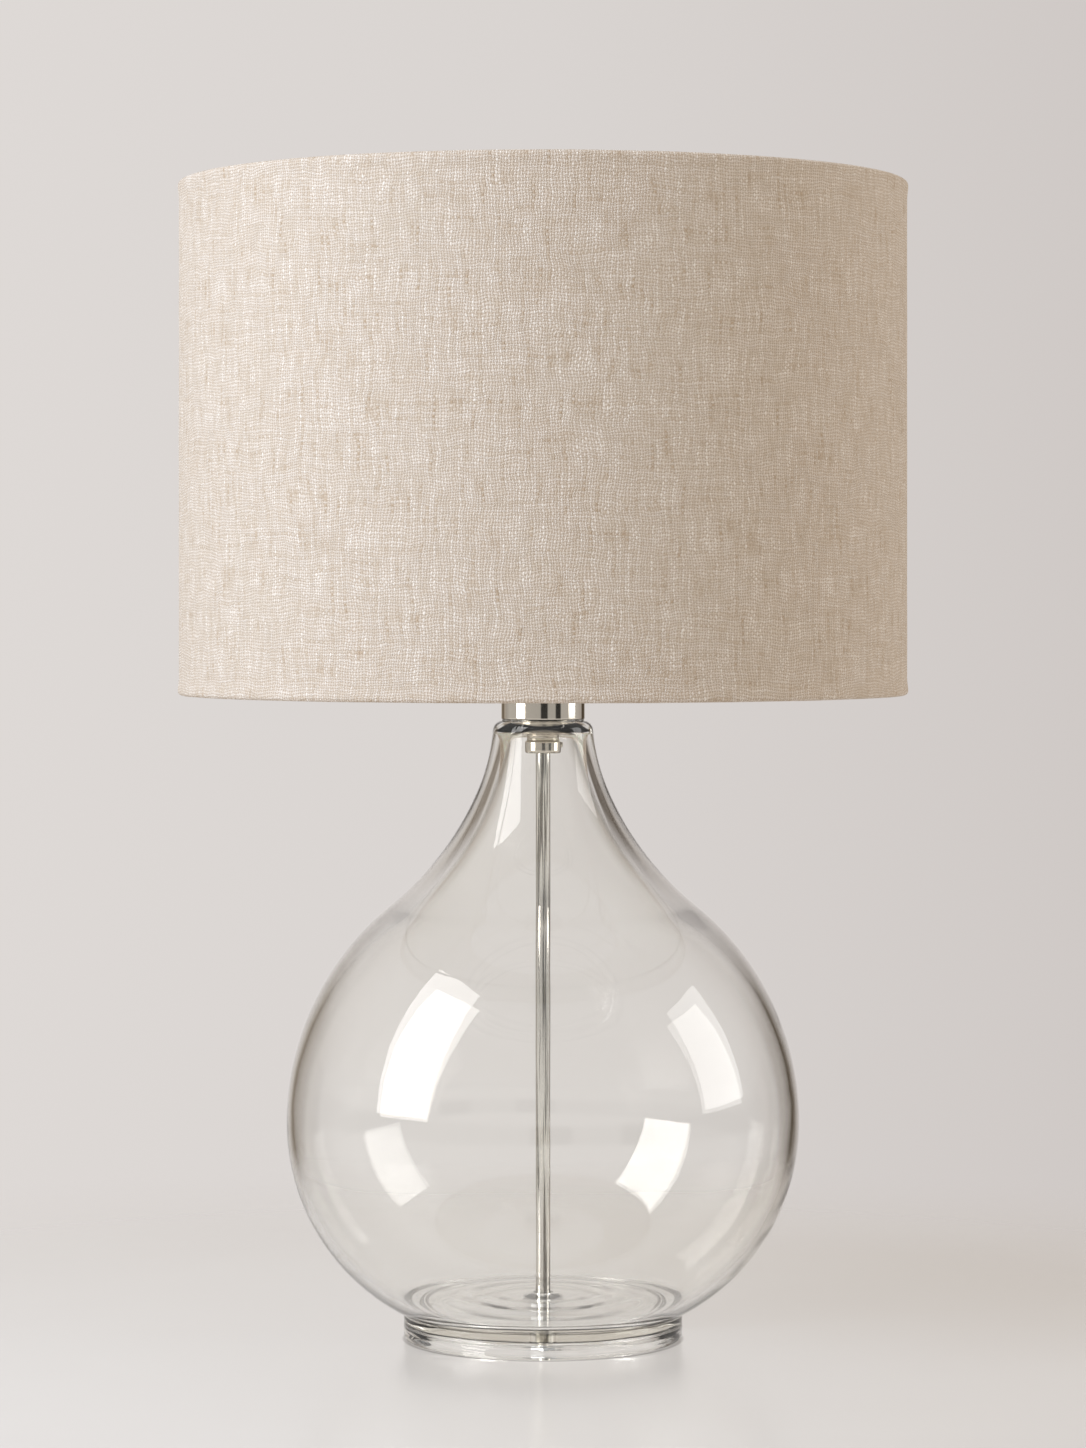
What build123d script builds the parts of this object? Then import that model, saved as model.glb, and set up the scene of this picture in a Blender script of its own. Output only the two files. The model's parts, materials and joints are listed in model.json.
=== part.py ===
from build123d import *
from math import sqrt
import os

# Table lamp: a clear blown teardrop vessel, a nickel tube through its middle that ties foot to neck,
# a nickel cup with a screw lampholder on the rim, and a linen drum shade clamped by a ring nut.
# Millimetres, +Z up, origin on the table under the middle of the foot, front towards -Y.

# Fits
fit_clearance = 0.05        # between turned faces that are fixed together
turn_clearance = 0.3        # between faces that turn past each other
flat_gap = 0.1              # end play of a piece that is trapped lengthways

# Glass vessel
foot_radius = 76.5
foot_height = 14.5
foot_edge_radius = 3.5
foot_ring_width = 10.5
recess_edge_radius = 2.0
belly_radius = 140.6
belly_height = 119.0
shoulder_radius = 84.2
shoulder_height = 237.0
throat_radius = 35.8
glass_height = 339.0
neck_rise = 38.2            # from the throat up to the rim
neck_lip = 4.2              # how far the glass stands out past the cup
rim_edge_radius = 5.5
mouth_radius = 16.0
mouth_edge_radius = 1.5
lip_inset = 3.0             # the lip is rolled in by this much to the mouth
lip_depth = 8.5             # from the rim down to where the roll starts
lip_land = 4.5              # straight part of the mouth
belly_wall = 4.0
shoulder_wall = 8.0
heel_wall = 9.5             # measured level, at the corner of the floor
floor_thickness = 9.5
floor_crown = 3.5
floor_corner_radius = 14.0
cord_notch_width = 8.0
cord_notch_height = 6.5
cord_notch_overrun = 5.0

# Tie tube and what holds it under the floor
tube_radius = 4.0
tube_bore_radius = 3.2
tube_end_stand = 1.3        # tube below the nut
base_clearance = 1.7        # table to the lowest piece in the recess
grommet_wall = 1.0
grommet_flange_radius = 11.0
grommet_flange_thickness = 1.5
base_washer_radius = 10.0
base_washer_thickness = 1.2
base_nut_flats = 13.0
base_nut_thickness = 4.0
nut_chamfer = 0.6
bush_flange_thickness = 0.8
bush_spigot_length = 6.0
bush_wall = 0.6

# Neck fittings
gasket_thickness = 0.8
gasket_inset = 0.5
plug_height = 7.0
plug_edge_radius = 0.8
socket_body_radius = 9.9
socket_body_height = 7.2
socket_edge_radius = 1.5
socket_spigot_radius = 8.9
socket_spigot_shown = 4.6
socket_spigot_in_plug = 4.0
socket_web = 1.0
tube_seat_depth = 6.4
set_screw_radius = 1.5
set_screw_drop = 2.2        # from the shoulder of the socket to the middle of the screw
set_screw_stand = 0.9
set_screw_key_radius = 0.75
set_screw_key_depth = 1.2
nipple_radius = 5.0
nipple_bore_radius = 3.5
nipple_in_holder = 6.5
lock_nut_flats = 14.0
lock_nut_thickness = 3.0

# Lampholder, sized from the thread of the bulb outwards
bulb_thread_radius = 13.2
thread_clearance = 0.4
shell_wall = 0.9
shell_gap = 0.4
skirt_wall = 4.85
skirt_height = 39.0
holder_gap = 2.05           # skirt to the inside of the cup
cup_wall = 1.2
cup_plate = 1.5
cup_height = 38.0
cup_edge_radius = 0.6
holder_step = 0.55          # skirt stands out past the lower cap
holder_base_height = 17.0
holder_base_floor = 4.0
wiring_depth = 5.0
insert_flange = 1.7
insert_rise = 9.7
terminal_spread = 7.0
terminal_head_radius = 2.5
terminal_head_height = 1.8
terminal_shank_radius = 1.5
terminal_shank_length = 5.0
contact_radius = 4.5
contact_plate = 0.6
contact_button_radius = 2.5
contact_button_rise = 2.2
shell_plate = 0.8
shell_height = 25.0
shell_hole_radius = 7.0

# Shade
shade_radius = 200.0
shade_height = 280.0
linen_thickness = 0.6
liner_thickness = 0.4
hem_depth = 9.0
ring_wire_radius = 1.6
carrier_rise = 24.4         # bottom edge of the shade to the carrier ring
carrier_clearance = 0.75
carrier_width = 9.5
carrier_thickness = 1.5
spoke_radius = 1.75
spoke_count = 3
spoke_angle = 90.0          # the first spoke, at the back
spoke_lap = 5.0
spoke_bend_radius = 12.0
spoke_bend_offset = 4.0
spoke_slot_clearance = 0.6
weld_gap = 0.1

# Ring nut
ring_nut_height = 9.0
ring_nut_wall = 5.2
ring_nut_flange = 2.6
ring_nut_flange_thickness = 2.2
ring_nut_ribs = 24
ring_nut_rib_radius = 1.1

# Bulb
bulb_contact_radius = 4.5
bulb_contact_thickness = 1.2
bulb_insulator_height = 3.0
bulb_insulator_radius = 10.0
bulb_cap_height = 23.0
bulb_cap_wall = 0.5
bulb_cap_lip = 1.0
bulb_collar = 0.4
bulb_housing_height = 31.0
bulb_housing_top_radius = 26.5
bulb_globe_radius = 30.0
bulb_globe_wall = 1.2

# Radii that follow from the sizes above
recess_radius = foot_radius - foot_ring_width
floor_seat_radius = recess_radius - fit_clearance
floor_hole_radius = tube_radius + grommet_wall + 2 * fit_clearance
tube_seat_radius = tube_radius + fit_clearance
shell_inner_radius = bulb_thread_radius + thread_clearance
shell_outer_radius = shell_inner_radius + shell_wall
skirt_inner_radius = shell_outer_radius + shell_gap
skirt_radius = skirt_inner_radius + skirt_wall
cup_inner_radius = skirt_radius + holder_gap
cup_radius = cup_inner_radius + cup_wall
neck_radius = cup_radius + neck_lip
neck_inner_radius = mouth_radius + lip_inset
neck_wall = neck_radius - neck_inner_radius
plug_radius = mouth_radius - thread_clearance
holder_base_radius = skirt_radius - holder_step
insert_radius = skirt_inner_radius - turn_clearance
insert_flange_radius = insert_radius + insert_flange
carrier_hole_radius = skirt_radius + carrier_clearance
carrier_radius = carrier_hole_radius + carrier_width
ring_nut_bore_radius = skirt_radius + turn_clearance
ring_nut_radius = ring_nut_bore_radius + ring_nut_wall
hem_inner_radius = ring_wire_radius + fit_clearance
hem_outer_radius = hem_inner_radius + linen_thickness
ring_wire_circle = shade_radius - hem_outer_radius
linen_outer_radius = shade_radius - linen_thickness
linen_inner_radius = linen_outer_radius - linen_thickness
liner_outer_radius = linen_inner_radius - fit_clearance
liner_inner_radius = liner_outer_radius - liner_thickness
hem_leg_radius = liner_inner_radius - fit_clearance

# Heights that follow, from the table up
bush_base = base_clearance
tube_base = bush_base + bush_flange_thickness
base_nut_base = tube_base + tube_end_stand
base_washer_base = base_nut_base + base_nut_thickness
grommet_base = base_washer_base + base_washer_thickness
recess_height = grommet_base + grommet_flange_thickness
floor_height = recess_height + floor_thickness
crown_height = floor_height + floor_crown
throat_height = glass_height - neck_rise
cup_base = glass_height + gasket_thickness
plug_base = cup_base - plug_height
socket_top = plug_base + socket_spigot_in_plug
socket_shoulder = plug_base - socket_spigot_shown
socket_base = socket_shoulder - socket_body_height
tube_top = socket_base + tube_seat_depth
nipple_base = tube_top + socket_web
set_screw_height = socket_shoulder - set_screw_drop
lock_nut_base = cup_base + cup_plate
holder_base_base = lock_nut_base + lock_nut_thickness
nipple_top = holder_base_base + nipple_in_holder
insert_base = holder_base_base + holder_base_floor + wiring_depth
skirt_base = holder_base_base + holder_base_height
insert_top = skirt_base + insert_rise
contact_top = insert_top + contact_plate + contact_button_rise
cup_top = cup_base + cup_height
ring_nut_base = cup_top + carrier_thickness
shade_base = cup_top - carrier_rise
shade_top = shade_base + shade_height
bottom_wire_height = shade_base + hem_outer_radius
top_wire_height = shade_top - hem_outer_radius
bulb_base = contact_top + turn_clearance
bulb_insulator_base = bulb_base + bulb_contact_thickness
bulb_cap_base = bulb_insulator_base + bulb_insulator_height
bulb_cap_top = bulb_cap_base + bulb_cap_height
bulb_globe_base = bulb_cap_top + bulb_housing_height

os.makedirs("parts", exist_ok=True)
pieces = []


def lower_belly_radius(height):
    """Radius of the outer arc below the widest line, upright at the belly and ending on the foot."""
    rise = belly_height - foot_height
    centre = (belly_radius**2 - foot_radius**2 - rise**2) / (2 * (belly_radius - foot_radius))
    return centre + sqrt((belly_radius - centre) ** 2 - (belly_height - height) ** 2)


# Blown glass vessel: outer and inner sides are chains of arcs that run smoothly into each other
with BuildPart() as vessel:
    with BuildSketch(Plane.XZ) as glass_profile:
        with BuildLine():
            belly = (belly_radius, belly_height)
            lower_belly = TangentArc(belly, (foot_radius, foot_height), tangent=(0, -1))
            upper_belly = TangentArc(belly, (shoulder_radius, shoulder_height), tangent=(0, 1))
            slope = upper_belly % 1
            throat = TangentArc(upper_belly @ 1, (throat_radius, throat_height), tangent=slope)
            neck = TangentArc(throat @ 1, (neck_radius, glass_height), tangent=throat % 1)
            inner_shoulder = upper_belly @ 1 + Vector(-slope.Y, slope.X) * shoulder_wall
            inner_belly = (belly_radius - belly_wall, belly_height)
            floor_corner = (lower_belly_radius(floor_height) - heel_wall, floor_height)
            inner_upper = TangentArc(inner_belly, inner_shoulder, tangent=(0, 1))
            lean = throat % 1
            inner_throat_end = throat @ 1 + Vector(-lean.Y, lean.X) * neck_wall
            inner_throat = TangentArc(inner_upper @ 1, inner_throat_end, tangent=inner_upper % 1)
            lip_start = (neck_inner_radius, glass_height - lip_depth)
            inner_neck = TangentArc(inner_throat @ 1, lip_start, tangent=inner_throat % 1)
            lip_end = (mouth_radius, glass_height - lip_land)
            TangentArc(inner_neck @ 1, lip_end, tangent=inner_neck % 1)
            Line(lip_end, (mouth_radius, glass_height))
            TangentArc(inner_belly, floor_corner, tangent=(0, -1))
            TangentArc((floor_hole_radius, crown_height), floor_corner, tangent=(1, 0))
            Line((mouth_radius, glass_height), neck @ 1)
            Polyline(
                (floor_hole_radius, crown_height),
                (floor_hole_radius, recess_height),
                (floor_seat_radius, recess_height),
                (floor_seat_radius, foot_height),
                lower_belly @ 1,
            )
        make_face()
        corners = glass_profile.vertices()
        for corner, radius in (
            ((neck_radius, glass_height), rim_edge_radius),
            ((mouth_radius, glass_height), mouth_edge_radius),
            (floor_corner, floor_corner_radius),
        ):
            fillet(corners.sort_by_distance(corner)[0], radius)
    revolve(axis=Axis.Z)

# The blown vessel is kept as two nodes, bowl and neck, that meet at the shoulder
with BuildPart() as glass_base:
    add(vessel.part)
    split(bisect_by=Plane.XY.offset(shoulder_height), keep=Keep.BOTTOM)
glass_base.part.label = "glass_base"
pieces.append(glass_base)

with BuildPart() as glass_neck:
    add(vessel.part)
    split(bisect_by=Plane.XY.offset(shoulder_height), keep=Keep.TOP)
glass_neck.part.label = "glass_neck"
pieces.append(glass_neck)

# Pressed foot ring, fused round the floor, with a notch ground in its back where the flex leaves
with BuildPart() as glass_foot:
    with BuildSketch(Plane.XZ) as foot_profile:
        with Locations((recess_radius, 0)):
            Rectangle(foot_ring_width, foot_height, align=Align.MIN)
        corners = foot_profile.vertices()
        fillet(corners.sort_by_distance((foot_radius, 0))[0], foot_edge_radius)
        fillet(corners.sort_by_distance((recess_radius, 0))[0], recess_edge_radius)
    revolve(axis=Axis.Z)
    with BuildSketch(Plane.XZ):
        SlotOverall(2 * cord_notch_height, cord_notch_width, rotation=90)
    extrude(amount=-(foot_radius + cord_notch_overrun), mode=Mode.SUBTRACT)
glass_foot.part.label = "glass_foot"
pieces.append(glass_foot)

# Silicone grommet: a flange under the floor and a sleeve up the hole
with BuildPart() as floor_grommet:
    with BuildSketch(Plane.XY.offset(grommet_base)):
        Circle(grommet_flange_radius)
    extrude(amount=grommet_flange_thickness)
    with BuildSketch(Plane.XY.offset(recess_height)):
        Circle(floor_hole_radius - fit_clearance)
    extrude(amount=crown_height - recess_height)
    with BuildSketch(Plane.XY.offset(grommet_base)):
        Circle(tube_seat_radius)
    extrude(amount=crown_height - grommet_base, mode=Mode.SUBTRACT)
floor_grommet.part.label = "floor_grommet"
pieces.append(floor_grommet)

# Washer and hexagon nut that pull the tube down
with BuildPart() as base_washer:
    with BuildSketch(Plane.XY.offset(base_washer_base)):
        Circle(base_washer_radius)
        Circle(tube_seat_radius, mode=Mode.SUBTRACT)
    extrude(amount=base_washer_thickness)
base_washer.part.label = "base_washer"
pieces.append(base_washer)

with BuildPart() as base_nut:
    with BuildSketch(Plane.XY.offset(base_nut_base)):
        RegularPolygon(base_nut_flats / 2, 6, major_radius=False)
        Circle(tube_seat_radius, mode=Mode.SUBTRACT)
    extrude(amount=base_nut_thickness)
    chamfer(base_nut.edges().filter_by(GeomType.LINE).group_by(Axis.Z)[0], nut_chamfer)
base_nut.part.label = "base_nut"
pieces.append(base_nut)

# Tie tube
with BuildPart() as stem_tube:
    with BuildSketch(Plane.XY.offset(tube_base)):
        Circle(tube_radius)
        Circle(tube_bore_radius, mode=Mode.SUBTRACT)
    extrude(amount=tube_top - tube_base)
stem_tube.part.label = "stem_tube"
pieces.append(stem_tube)

# Nylon bush in the lower end of the tube, where the flex comes in
with BuildPart() as cord_bush:
    with BuildSketch(Plane.XY.offset(bush_base)):
        Circle(tube_radius)
    extrude(amount=bush_flange_thickness)
    with BuildSketch(Plane.XY.offset(tube_base)):
        Circle(tube_bore_radius - fit_clearance)
    extrude(amount=bush_spigot_length)
    with BuildSketch(Plane.XY.offset(bush_base)):
        Circle(tube_bore_radius - bush_wall)
    extrude(amount=bush_flange_thickness + bush_spigot_length, mode=Mode.SUBTRACT)
cord_bush.part.label = "cord_bush"
pieces.append(cord_bush)

# Turned socket: the tube seats from below, the nipple screws in from above, a grub screw holds the tube
with BuildPart() as stem_socket:
    with BuildSketch(Plane.XY.offset(socket_base)):
        Circle(socket_body_radius)
    extrude(amount=socket_body_height)
    fillet(stem_socket.edges().group_by(Axis.Z)[0], socket_edge_radius)
    with BuildSketch(Plane.XY.offset(socket_shoulder)):
        Circle(socket_spigot_radius)
    extrude(amount=socket_top - socket_shoulder)
    for base, top, radius in (
        (socket_base, tube_top, tube_seat_radius),
        (tube_top, nipple_base, tube_bore_radius),
        (nipple_base, socket_top, nipple_radius + fit_clearance),
    ):
        with BuildSketch(Plane.XY.offset(base)):
            Circle(radius)
        extrude(amount=top - base, mode=Mode.SUBTRACT)
    with BuildSketch(Plane.YZ):
        with Locations((0, set_screw_height)):
            Circle(set_screw_radius + fit_clearance)
    extrude(amount=socket_body_radius, mode=Mode.SUBTRACT)
stem_socket.part.label = "stem_socket"
pieces.append(stem_socket)

# Grub screw, its tip against the tube and its key hole outwards
with BuildPart() as socket_set_screw:
    set_screw_end = socket_body_radius + set_screw_stand
    with BuildSketch(Plane.YZ.offset(tube_radius + flat_gap)):
        with Locations((0, set_screw_height)):
            Circle(set_screw_radius)
    extrude(amount=set_screw_end - tube_radius - flat_gap)
    with BuildSketch(Plane.YZ.offset(set_screw_end)):
        with Locations((0, set_screw_height)):
            RegularPolygon(set_screw_key_radius, 6)
    extrude(amount=-set_screw_key_depth, mode=Mode.SUBTRACT)
socket_set_screw.part.label = "socket_set_screw"
pieces.append(socket_set_screw)

# Plug that centres the fittings in the mouth of the glass
with BuildPart() as neck_plug:
    with BuildSketch(Plane.XY.offset(plug_base)):
        Circle(plug_radius)
    extrude(amount=plug_height)
    fillet(neck_plug.edges().group_by(Axis.Z)[0], plug_edge_radius)
    with BuildSketch(Plane.XY.offset(plug_base)):
        Circle(socket_spigot_radius + fit_clearance)
    extrude(amount=socket_spigot_in_plug, mode=Mode.SUBTRACT)
    with BuildSketch(Plane.XY.offset(plug_base)):
        Circle(nipple_radius + fit_clearance)
    extrude(amount=plug_height, mode=Mode.SUBTRACT)
neck_plug.part.label = "neck_plug"
pieces.append(neck_plug)

# Silicone ring between the glass rim and the cup
with BuildPart() as neck_gasket:
    with BuildSketch(Plane.XY.offset(glass_height)):
        Circle(cup_radius - gasket_inset)
        Circle(mouth_radius + gasket_inset, mode=Mode.SUBTRACT)
    extrude(amount=gasket_thickness)
neck_gasket.part.label = "neck_gasket"
pieces.append(neck_gasket)

# Nickel cup that covers the lampholder
with BuildPart() as holder_cup:
    with BuildSketch(Plane.XY.offset(cup_base)):
        Circle(cup_radius)
    extrude(amount=cup_height)
    fillet(holder_cup.edges().group_by(Axis.Z)[0], cup_edge_radius)
    with BuildSketch(Plane.XY.offset(lock_nut_base)):
        Circle(cup_inner_radius)
    extrude(amount=cup_top - lock_nut_base, mode=Mode.SUBTRACT)
    with BuildSketch(Plane.XY.offset(cup_base)):
        Circle(nipple_radius + fit_clearance)
    extrude(amount=cup_plate, mode=Mode.SUBTRACT)
holder_cup.part.label = "holder_cup"
pieces.append(holder_cup)

# Hollow threaded nipple and its lock nut
with BuildPart() as hollow_nipple:
    with BuildSketch(Plane.XY.offset(nipple_base)):
        Circle(nipple_radius)
        Circle(nipple_bore_radius, mode=Mode.SUBTRACT)
    extrude(amount=nipple_top - nipple_base)
hollow_nipple.part.label = "hollow_nipple"
pieces.append(hollow_nipple)

with BuildPart() as lock_nut:
    with BuildSketch(Plane.XY.offset(lock_nut_base)):
        RegularPolygon(lock_nut_flats / 2, 6, major_radius=False)
        Circle(nipple_radius + fit_clearance, mode=Mode.SUBTRACT)
    extrude(amount=lock_nut_thickness)
    chamfer(lock_nut.edges().filter_by(GeomType.LINE).group_by(Axis.Z)[-1], nut_chamfer)
lock_nut.part.label = "lock_nut"
pieces.append(lock_nut)

# Lower cap of the lampholder, with a ledge for the insert above its wiring space
with BuildPart() as holder_base:
    with BuildSketch(Plane.XY.offset(holder_base_base)):
        Circle(holder_base_radius)
    extrude(amount=holder_base_height)
    with BuildSketch(Plane.XY.offset(insert_base)):
        Circle(insert_flange_radius + fit_clearance)
    extrude(amount=skirt_base - insert_base, mode=Mode.SUBTRACT)
    with BuildSketch(Plane.XY.offset(holder_base_base + holder_base_floor)):
        Circle(insert_radius)
    extrude(amount=wiring_depth, mode=Mode.SUBTRACT)
    with BuildSketch(Plane.XY.offset(holder_base_base)):
        Circle(nipple_radius + fit_clearance)
    extrude(amount=holder_base_floor, mode=Mode.SUBTRACT)
holder_base.part.label = "holder_base"
pieces.append(holder_base)

# Ceramic insert, its flange trapped between cap and skirt
with BuildPart() as holder_insert:
    with BuildSketch(Plane.XY.offset(insert_base)):
        Circle(insert_flange_radius)
    extrude(amount=skirt_base - insert_base - flat_gap)
    with BuildSketch(Plane.XY.offset(insert_base)):
        Circle(insert_radius)
    extrude(amount=insert_top - insert_base)
    with BuildSketch(Plane.XY.offset(insert_base)):
        with GridLocations(2 * terminal_spread, 0, 2, 1):
            Circle(terminal_shank_radius + fit_clearance)
    extrude(amount=terminal_shank_length + flat_gap, mode=Mode.SUBTRACT)
holder_insert.part.label = "holder_insert"
pieces.append(holder_insert)

# Two terminal screws under the insert
with BuildPart() as terminal_screws:
    with BuildSketch(Plane.XY.offset(insert_base)):
        with GridLocations(2 * terminal_spread, 0, 2, 1):
            Circle(terminal_shank_radius)
    extrude(amount=terminal_shank_length)
    with BuildSketch(Plane.XY.offset(insert_base - terminal_head_height)):
        with GridLocations(2 * terminal_spread, 0, 2, 1):
            Circle(terminal_head_radius)
    extrude(amount=terminal_head_height)
terminal_screws.part.label = "terminal_screws"
pieces.append(terminal_screws)

# Brass centre contact and threaded shell for the bulb
with BuildPart() as centre_contact:
    with BuildSketch(Plane.XY.offset(insert_top)):
        Circle(contact_radius)
    extrude(amount=contact_plate)
    with BuildSketch(Plane.XY.offset(insert_top + contact_plate)):
        Circle(contact_button_radius)
    extrude(amount=contact_button_rise)
centre_contact.part.label = "centre_contact"
pieces.append(centre_contact)

with BuildPart() as screw_shell:
    with BuildSketch(Plane.XY.offset(insert_top)):
        Circle(shell_outer_radius)
        Circle(shell_inner_radius, mode=Mode.SUBTRACT)
    extrude(amount=shell_height)
    with BuildSketch(Plane.XY.offset(insert_top)):
        Circle(shell_outer_radius)
        Circle(shell_hole_radius, mode=Mode.SUBTRACT)
    extrude(amount=shell_plate)
screw_shell.part.label = "screw_shell"
pieces.append(screw_shell)

# Outer skirt of the lampholder, whose thread takes the ring nut
with BuildPart() as holder_skirt:
    with BuildSketch(Plane.XY.offset(skirt_base)):
        Circle(skirt_radius)
        Circle(skirt_inner_radius, mode=Mode.SUBTRACT)
    extrude(amount=skirt_height)
holder_skirt.part.label = "holder_skirt"
pieces.append(holder_skirt)

# Flat carrier ring of the shade, seated on the rim of the cup
with BuildPart() as carrier_ring:
    with BuildSketch(Plane.XY.offset(cup_top)):
        Circle(carrier_radius)
        Circle(carrier_hole_radius, mode=Mode.SUBTRACT)
    extrude(amount=carrier_thickness)
carrier_ring.part.label = "carrier_ring"
pieces.append(carrier_ring)


def spoke_wire(radius, end_gap):
    """One cranked spoke towards +X, from under the carrier ring to end_gap short of the bottom wire."""
    lap_height = cup_top - spoke_radius
    bend = (carrier_radius + spoke_bend_offset, lap_height)
    wire_middle = Vector(ring_wire_circle, bottom_wire_height)
    end = wire_middle - (wire_middle - Vector(bend)).normalized() * end_gap
    with BuildPart() as wire:
        with BuildLine(Plane.XZ) as route:
            FilletPolyline(
                (carrier_radius - spoke_lap, lap_height),
                bend,
                (end.X, end.Y),
                radius=spoke_bend_radius,
            )
        with BuildSketch(Plane(origin=route.line @ 0, z_dir=route.line % 0)):
            Circle(radius)
        sweep(path=route.line)
    return wire.part


# Three spokes, one of them at the back
spoke = spoke_wire(spoke_radius, ring_wire_radius + weld_gap)
with BuildPart() as shade_spokes:
    with PolarLocations(0, spoke_count, start_angle=spoke_angle):
        add(spoke)
shade_spokes.part.label = "shade_spokes"
pieces.append(shade_spokes)

# Wire rings inside the two hems
with BuildPart() as shade_bottom_ring:
    with Locations((0, 0, bottom_wire_height)):
        Torus(ring_wire_circle, ring_wire_radius)
shade_bottom_ring.part.label = "shade_bottom_ring"
pieces.append(shade_bottom_ring)

with BuildPart() as shade_top_ring:
    with Locations((0, 0, top_wire_height)):
        Torus(ring_wire_circle, ring_wire_radius)
shade_top_ring.part.label = "shade_top_ring"
pieces.append(shade_top_ring)

# Stiff white liner between the hems
with BuildPart() as shade_liner:
    liner_base = shade_base + 2 * hem_outer_radius + flat_gap
    with BuildSketch(Plane.XY.offset(liner_base)):
        Circle(liner_outer_radius)
        Circle(liner_inner_radius, mode=Mode.SUBTRACT)
    extrude(amount=shade_height - 4 * hem_outer_radius - 2 * flat_gap)
shade_liner.part.label = "shade_liner"
pieces.append(shade_liner)

# Linen: the wall, a roll round each wire and a short leg turned up inside the liner
spoke_slot = spoke_wire(spoke_radius + spoke_slot_clearance, linen_thickness + spoke_slot_clearance)
with BuildPart() as shade_linen:
    with BuildSketch(Plane.XZ):
        with Locations((linen_inner_radius, bottom_wire_height)):
            Rectangle(linen_thickness, top_wire_height - bottom_wire_height, align=Align.MIN)
        with Locations((hem_leg_radius, bottom_wire_height)):
            Rectangle(linen_thickness, hem_depth, align=(Align.MAX, Align.MIN))
        with Locations((hem_leg_radius, top_wire_height)):
            Rectangle(linen_thickness, hem_depth, align=Align.MAX)
        with Locations((ring_wire_circle, bottom_wire_height), (ring_wire_circle, top_wire_height)):
            Circle(hem_outer_radius)
            Circle(hem_inner_radius, mode=Mode.SUBTRACT)
    revolve(axis=Axis.Z)
    with PolarLocations(0, spoke_count, start_angle=spoke_angle):
        add(spoke_slot, mode=Mode.SUBTRACT)
shade_linen.part.label = "shade_linen"
pieces.append(shade_linen)

# Ring nut with grip ribs, screwed down on the carrier ring
with BuildPart() as shade_ring_nut:
    with BuildSketch(Plane.XY.offset(ring_nut_base)):
        Circle(ring_nut_radius)
        with PolarLocations(ring_nut_radius, ring_nut_ribs):
            Circle(ring_nut_rib_radius)
    extrude(amount=ring_nut_height)
    with BuildSketch(Plane.XY.offset(ring_nut_base)):
        Circle(ring_nut_radius + ring_nut_flange)
    extrude(amount=ring_nut_flange_thickness)
    with BuildSketch(Plane.XY.offset(ring_nut_base)):
        Circle(ring_nut_bore_radius)
    extrude(amount=ring_nut_height, mode=Mode.SUBTRACT)
shade_ring_nut.part.label = "shade_ring_nut"
pieces.append(shade_ring_nut)

# Bulb: tip contact, black glass insulator, screw cap, flared housing and opal globe
with BuildPart() as bulb_contact:
    with BuildSketch(Plane.XY.offset(bulb_base)):
        Circle(bulb_contact_radius)
    extrude(amount=bulb_contact_thickness)
bulb_contact.part.label = "bulb_contact"
pieces.append(bulb_contact)

with BuildPart() as bulb_insulator:
    with BuildSketch(Plane.XY.offset(bulb_insulator_base)):
        Circle(bulb_contact_radius)
    with BuildSketch(Plane.XY.offset(bulb_cap_base)):
        Circle(bulb_insulator_radius)
    loft()
bulb_insulator.part.label = "bulb_insulator"
pieces.append(bulb_insulator)

with BuildPart() as bulb_screw_cap:
    with BuildSketch(Plane.XY.offset(bulb_cap_base)):
        Circle(bulb_thread_radius)
    extrude(amount=bulb_cap_height)
    with BuildSketch(Plane.XY.offset(bulb_cap_base + bulb_cap_lip)):
        Circle(bulb_thread_radius - bulb_cap_wall)
    extrude(amount=bulb_cap_height - bulb_cap_lip, mode=Mode.SUBTRACT)
bulb_screw_cap.part.label = "bulb_screw_cap"
pieces.append(bulb_screw_cap)

with BuildPart() as bulb_housing:
    collar_radius = bulb_thread_radius + bulb_collar
    with BuildSketch(Plane.XZ):
        with BuildLine():
            flare_top = (bulb_housing_top_radius, bulb_globe_base)
            flare = TangentArc((collar_radius, bulb_cap_top), flare_top, tangent=(0, 1))
            Polyline(flare @ 1, (0, bulb_globe_base), (0, bulb_cap_top), flare @ 0)
        make_face()
    revolve(axis=Axis.Z)
bulb_housing.part.label = "bulb_housing"
pieces.append(bulb_housing)

with BuildPart() as bulb_globe:
    globe_middle = bulb_globe_base + sqrt(bulb_globe_radius**2 - bulb_housing_top_radius**2)
    with Locations((0, 0, globe_middle)):
        Sphere(bulb_globe_radius)
        Sphere(bulb_globe_radius - bulb_globe_wall, mode=Mode.SUBTRACT)
    split(bisect_by=Plane.XY.offset(bulb_globe_base), keep=Keep.TOP)
bulb_globe.part.label = "bulb_globe"
pieces.append(bulb_globe)

for piece in pieces:
    export_step(piece.part, f"parts/{piece.part.label}.step")
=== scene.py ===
import json
from math import atan2, ceil, cos, hypot, pi, radians, sin, tan

import bmesh
import bpy
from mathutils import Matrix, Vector, noise

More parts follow.
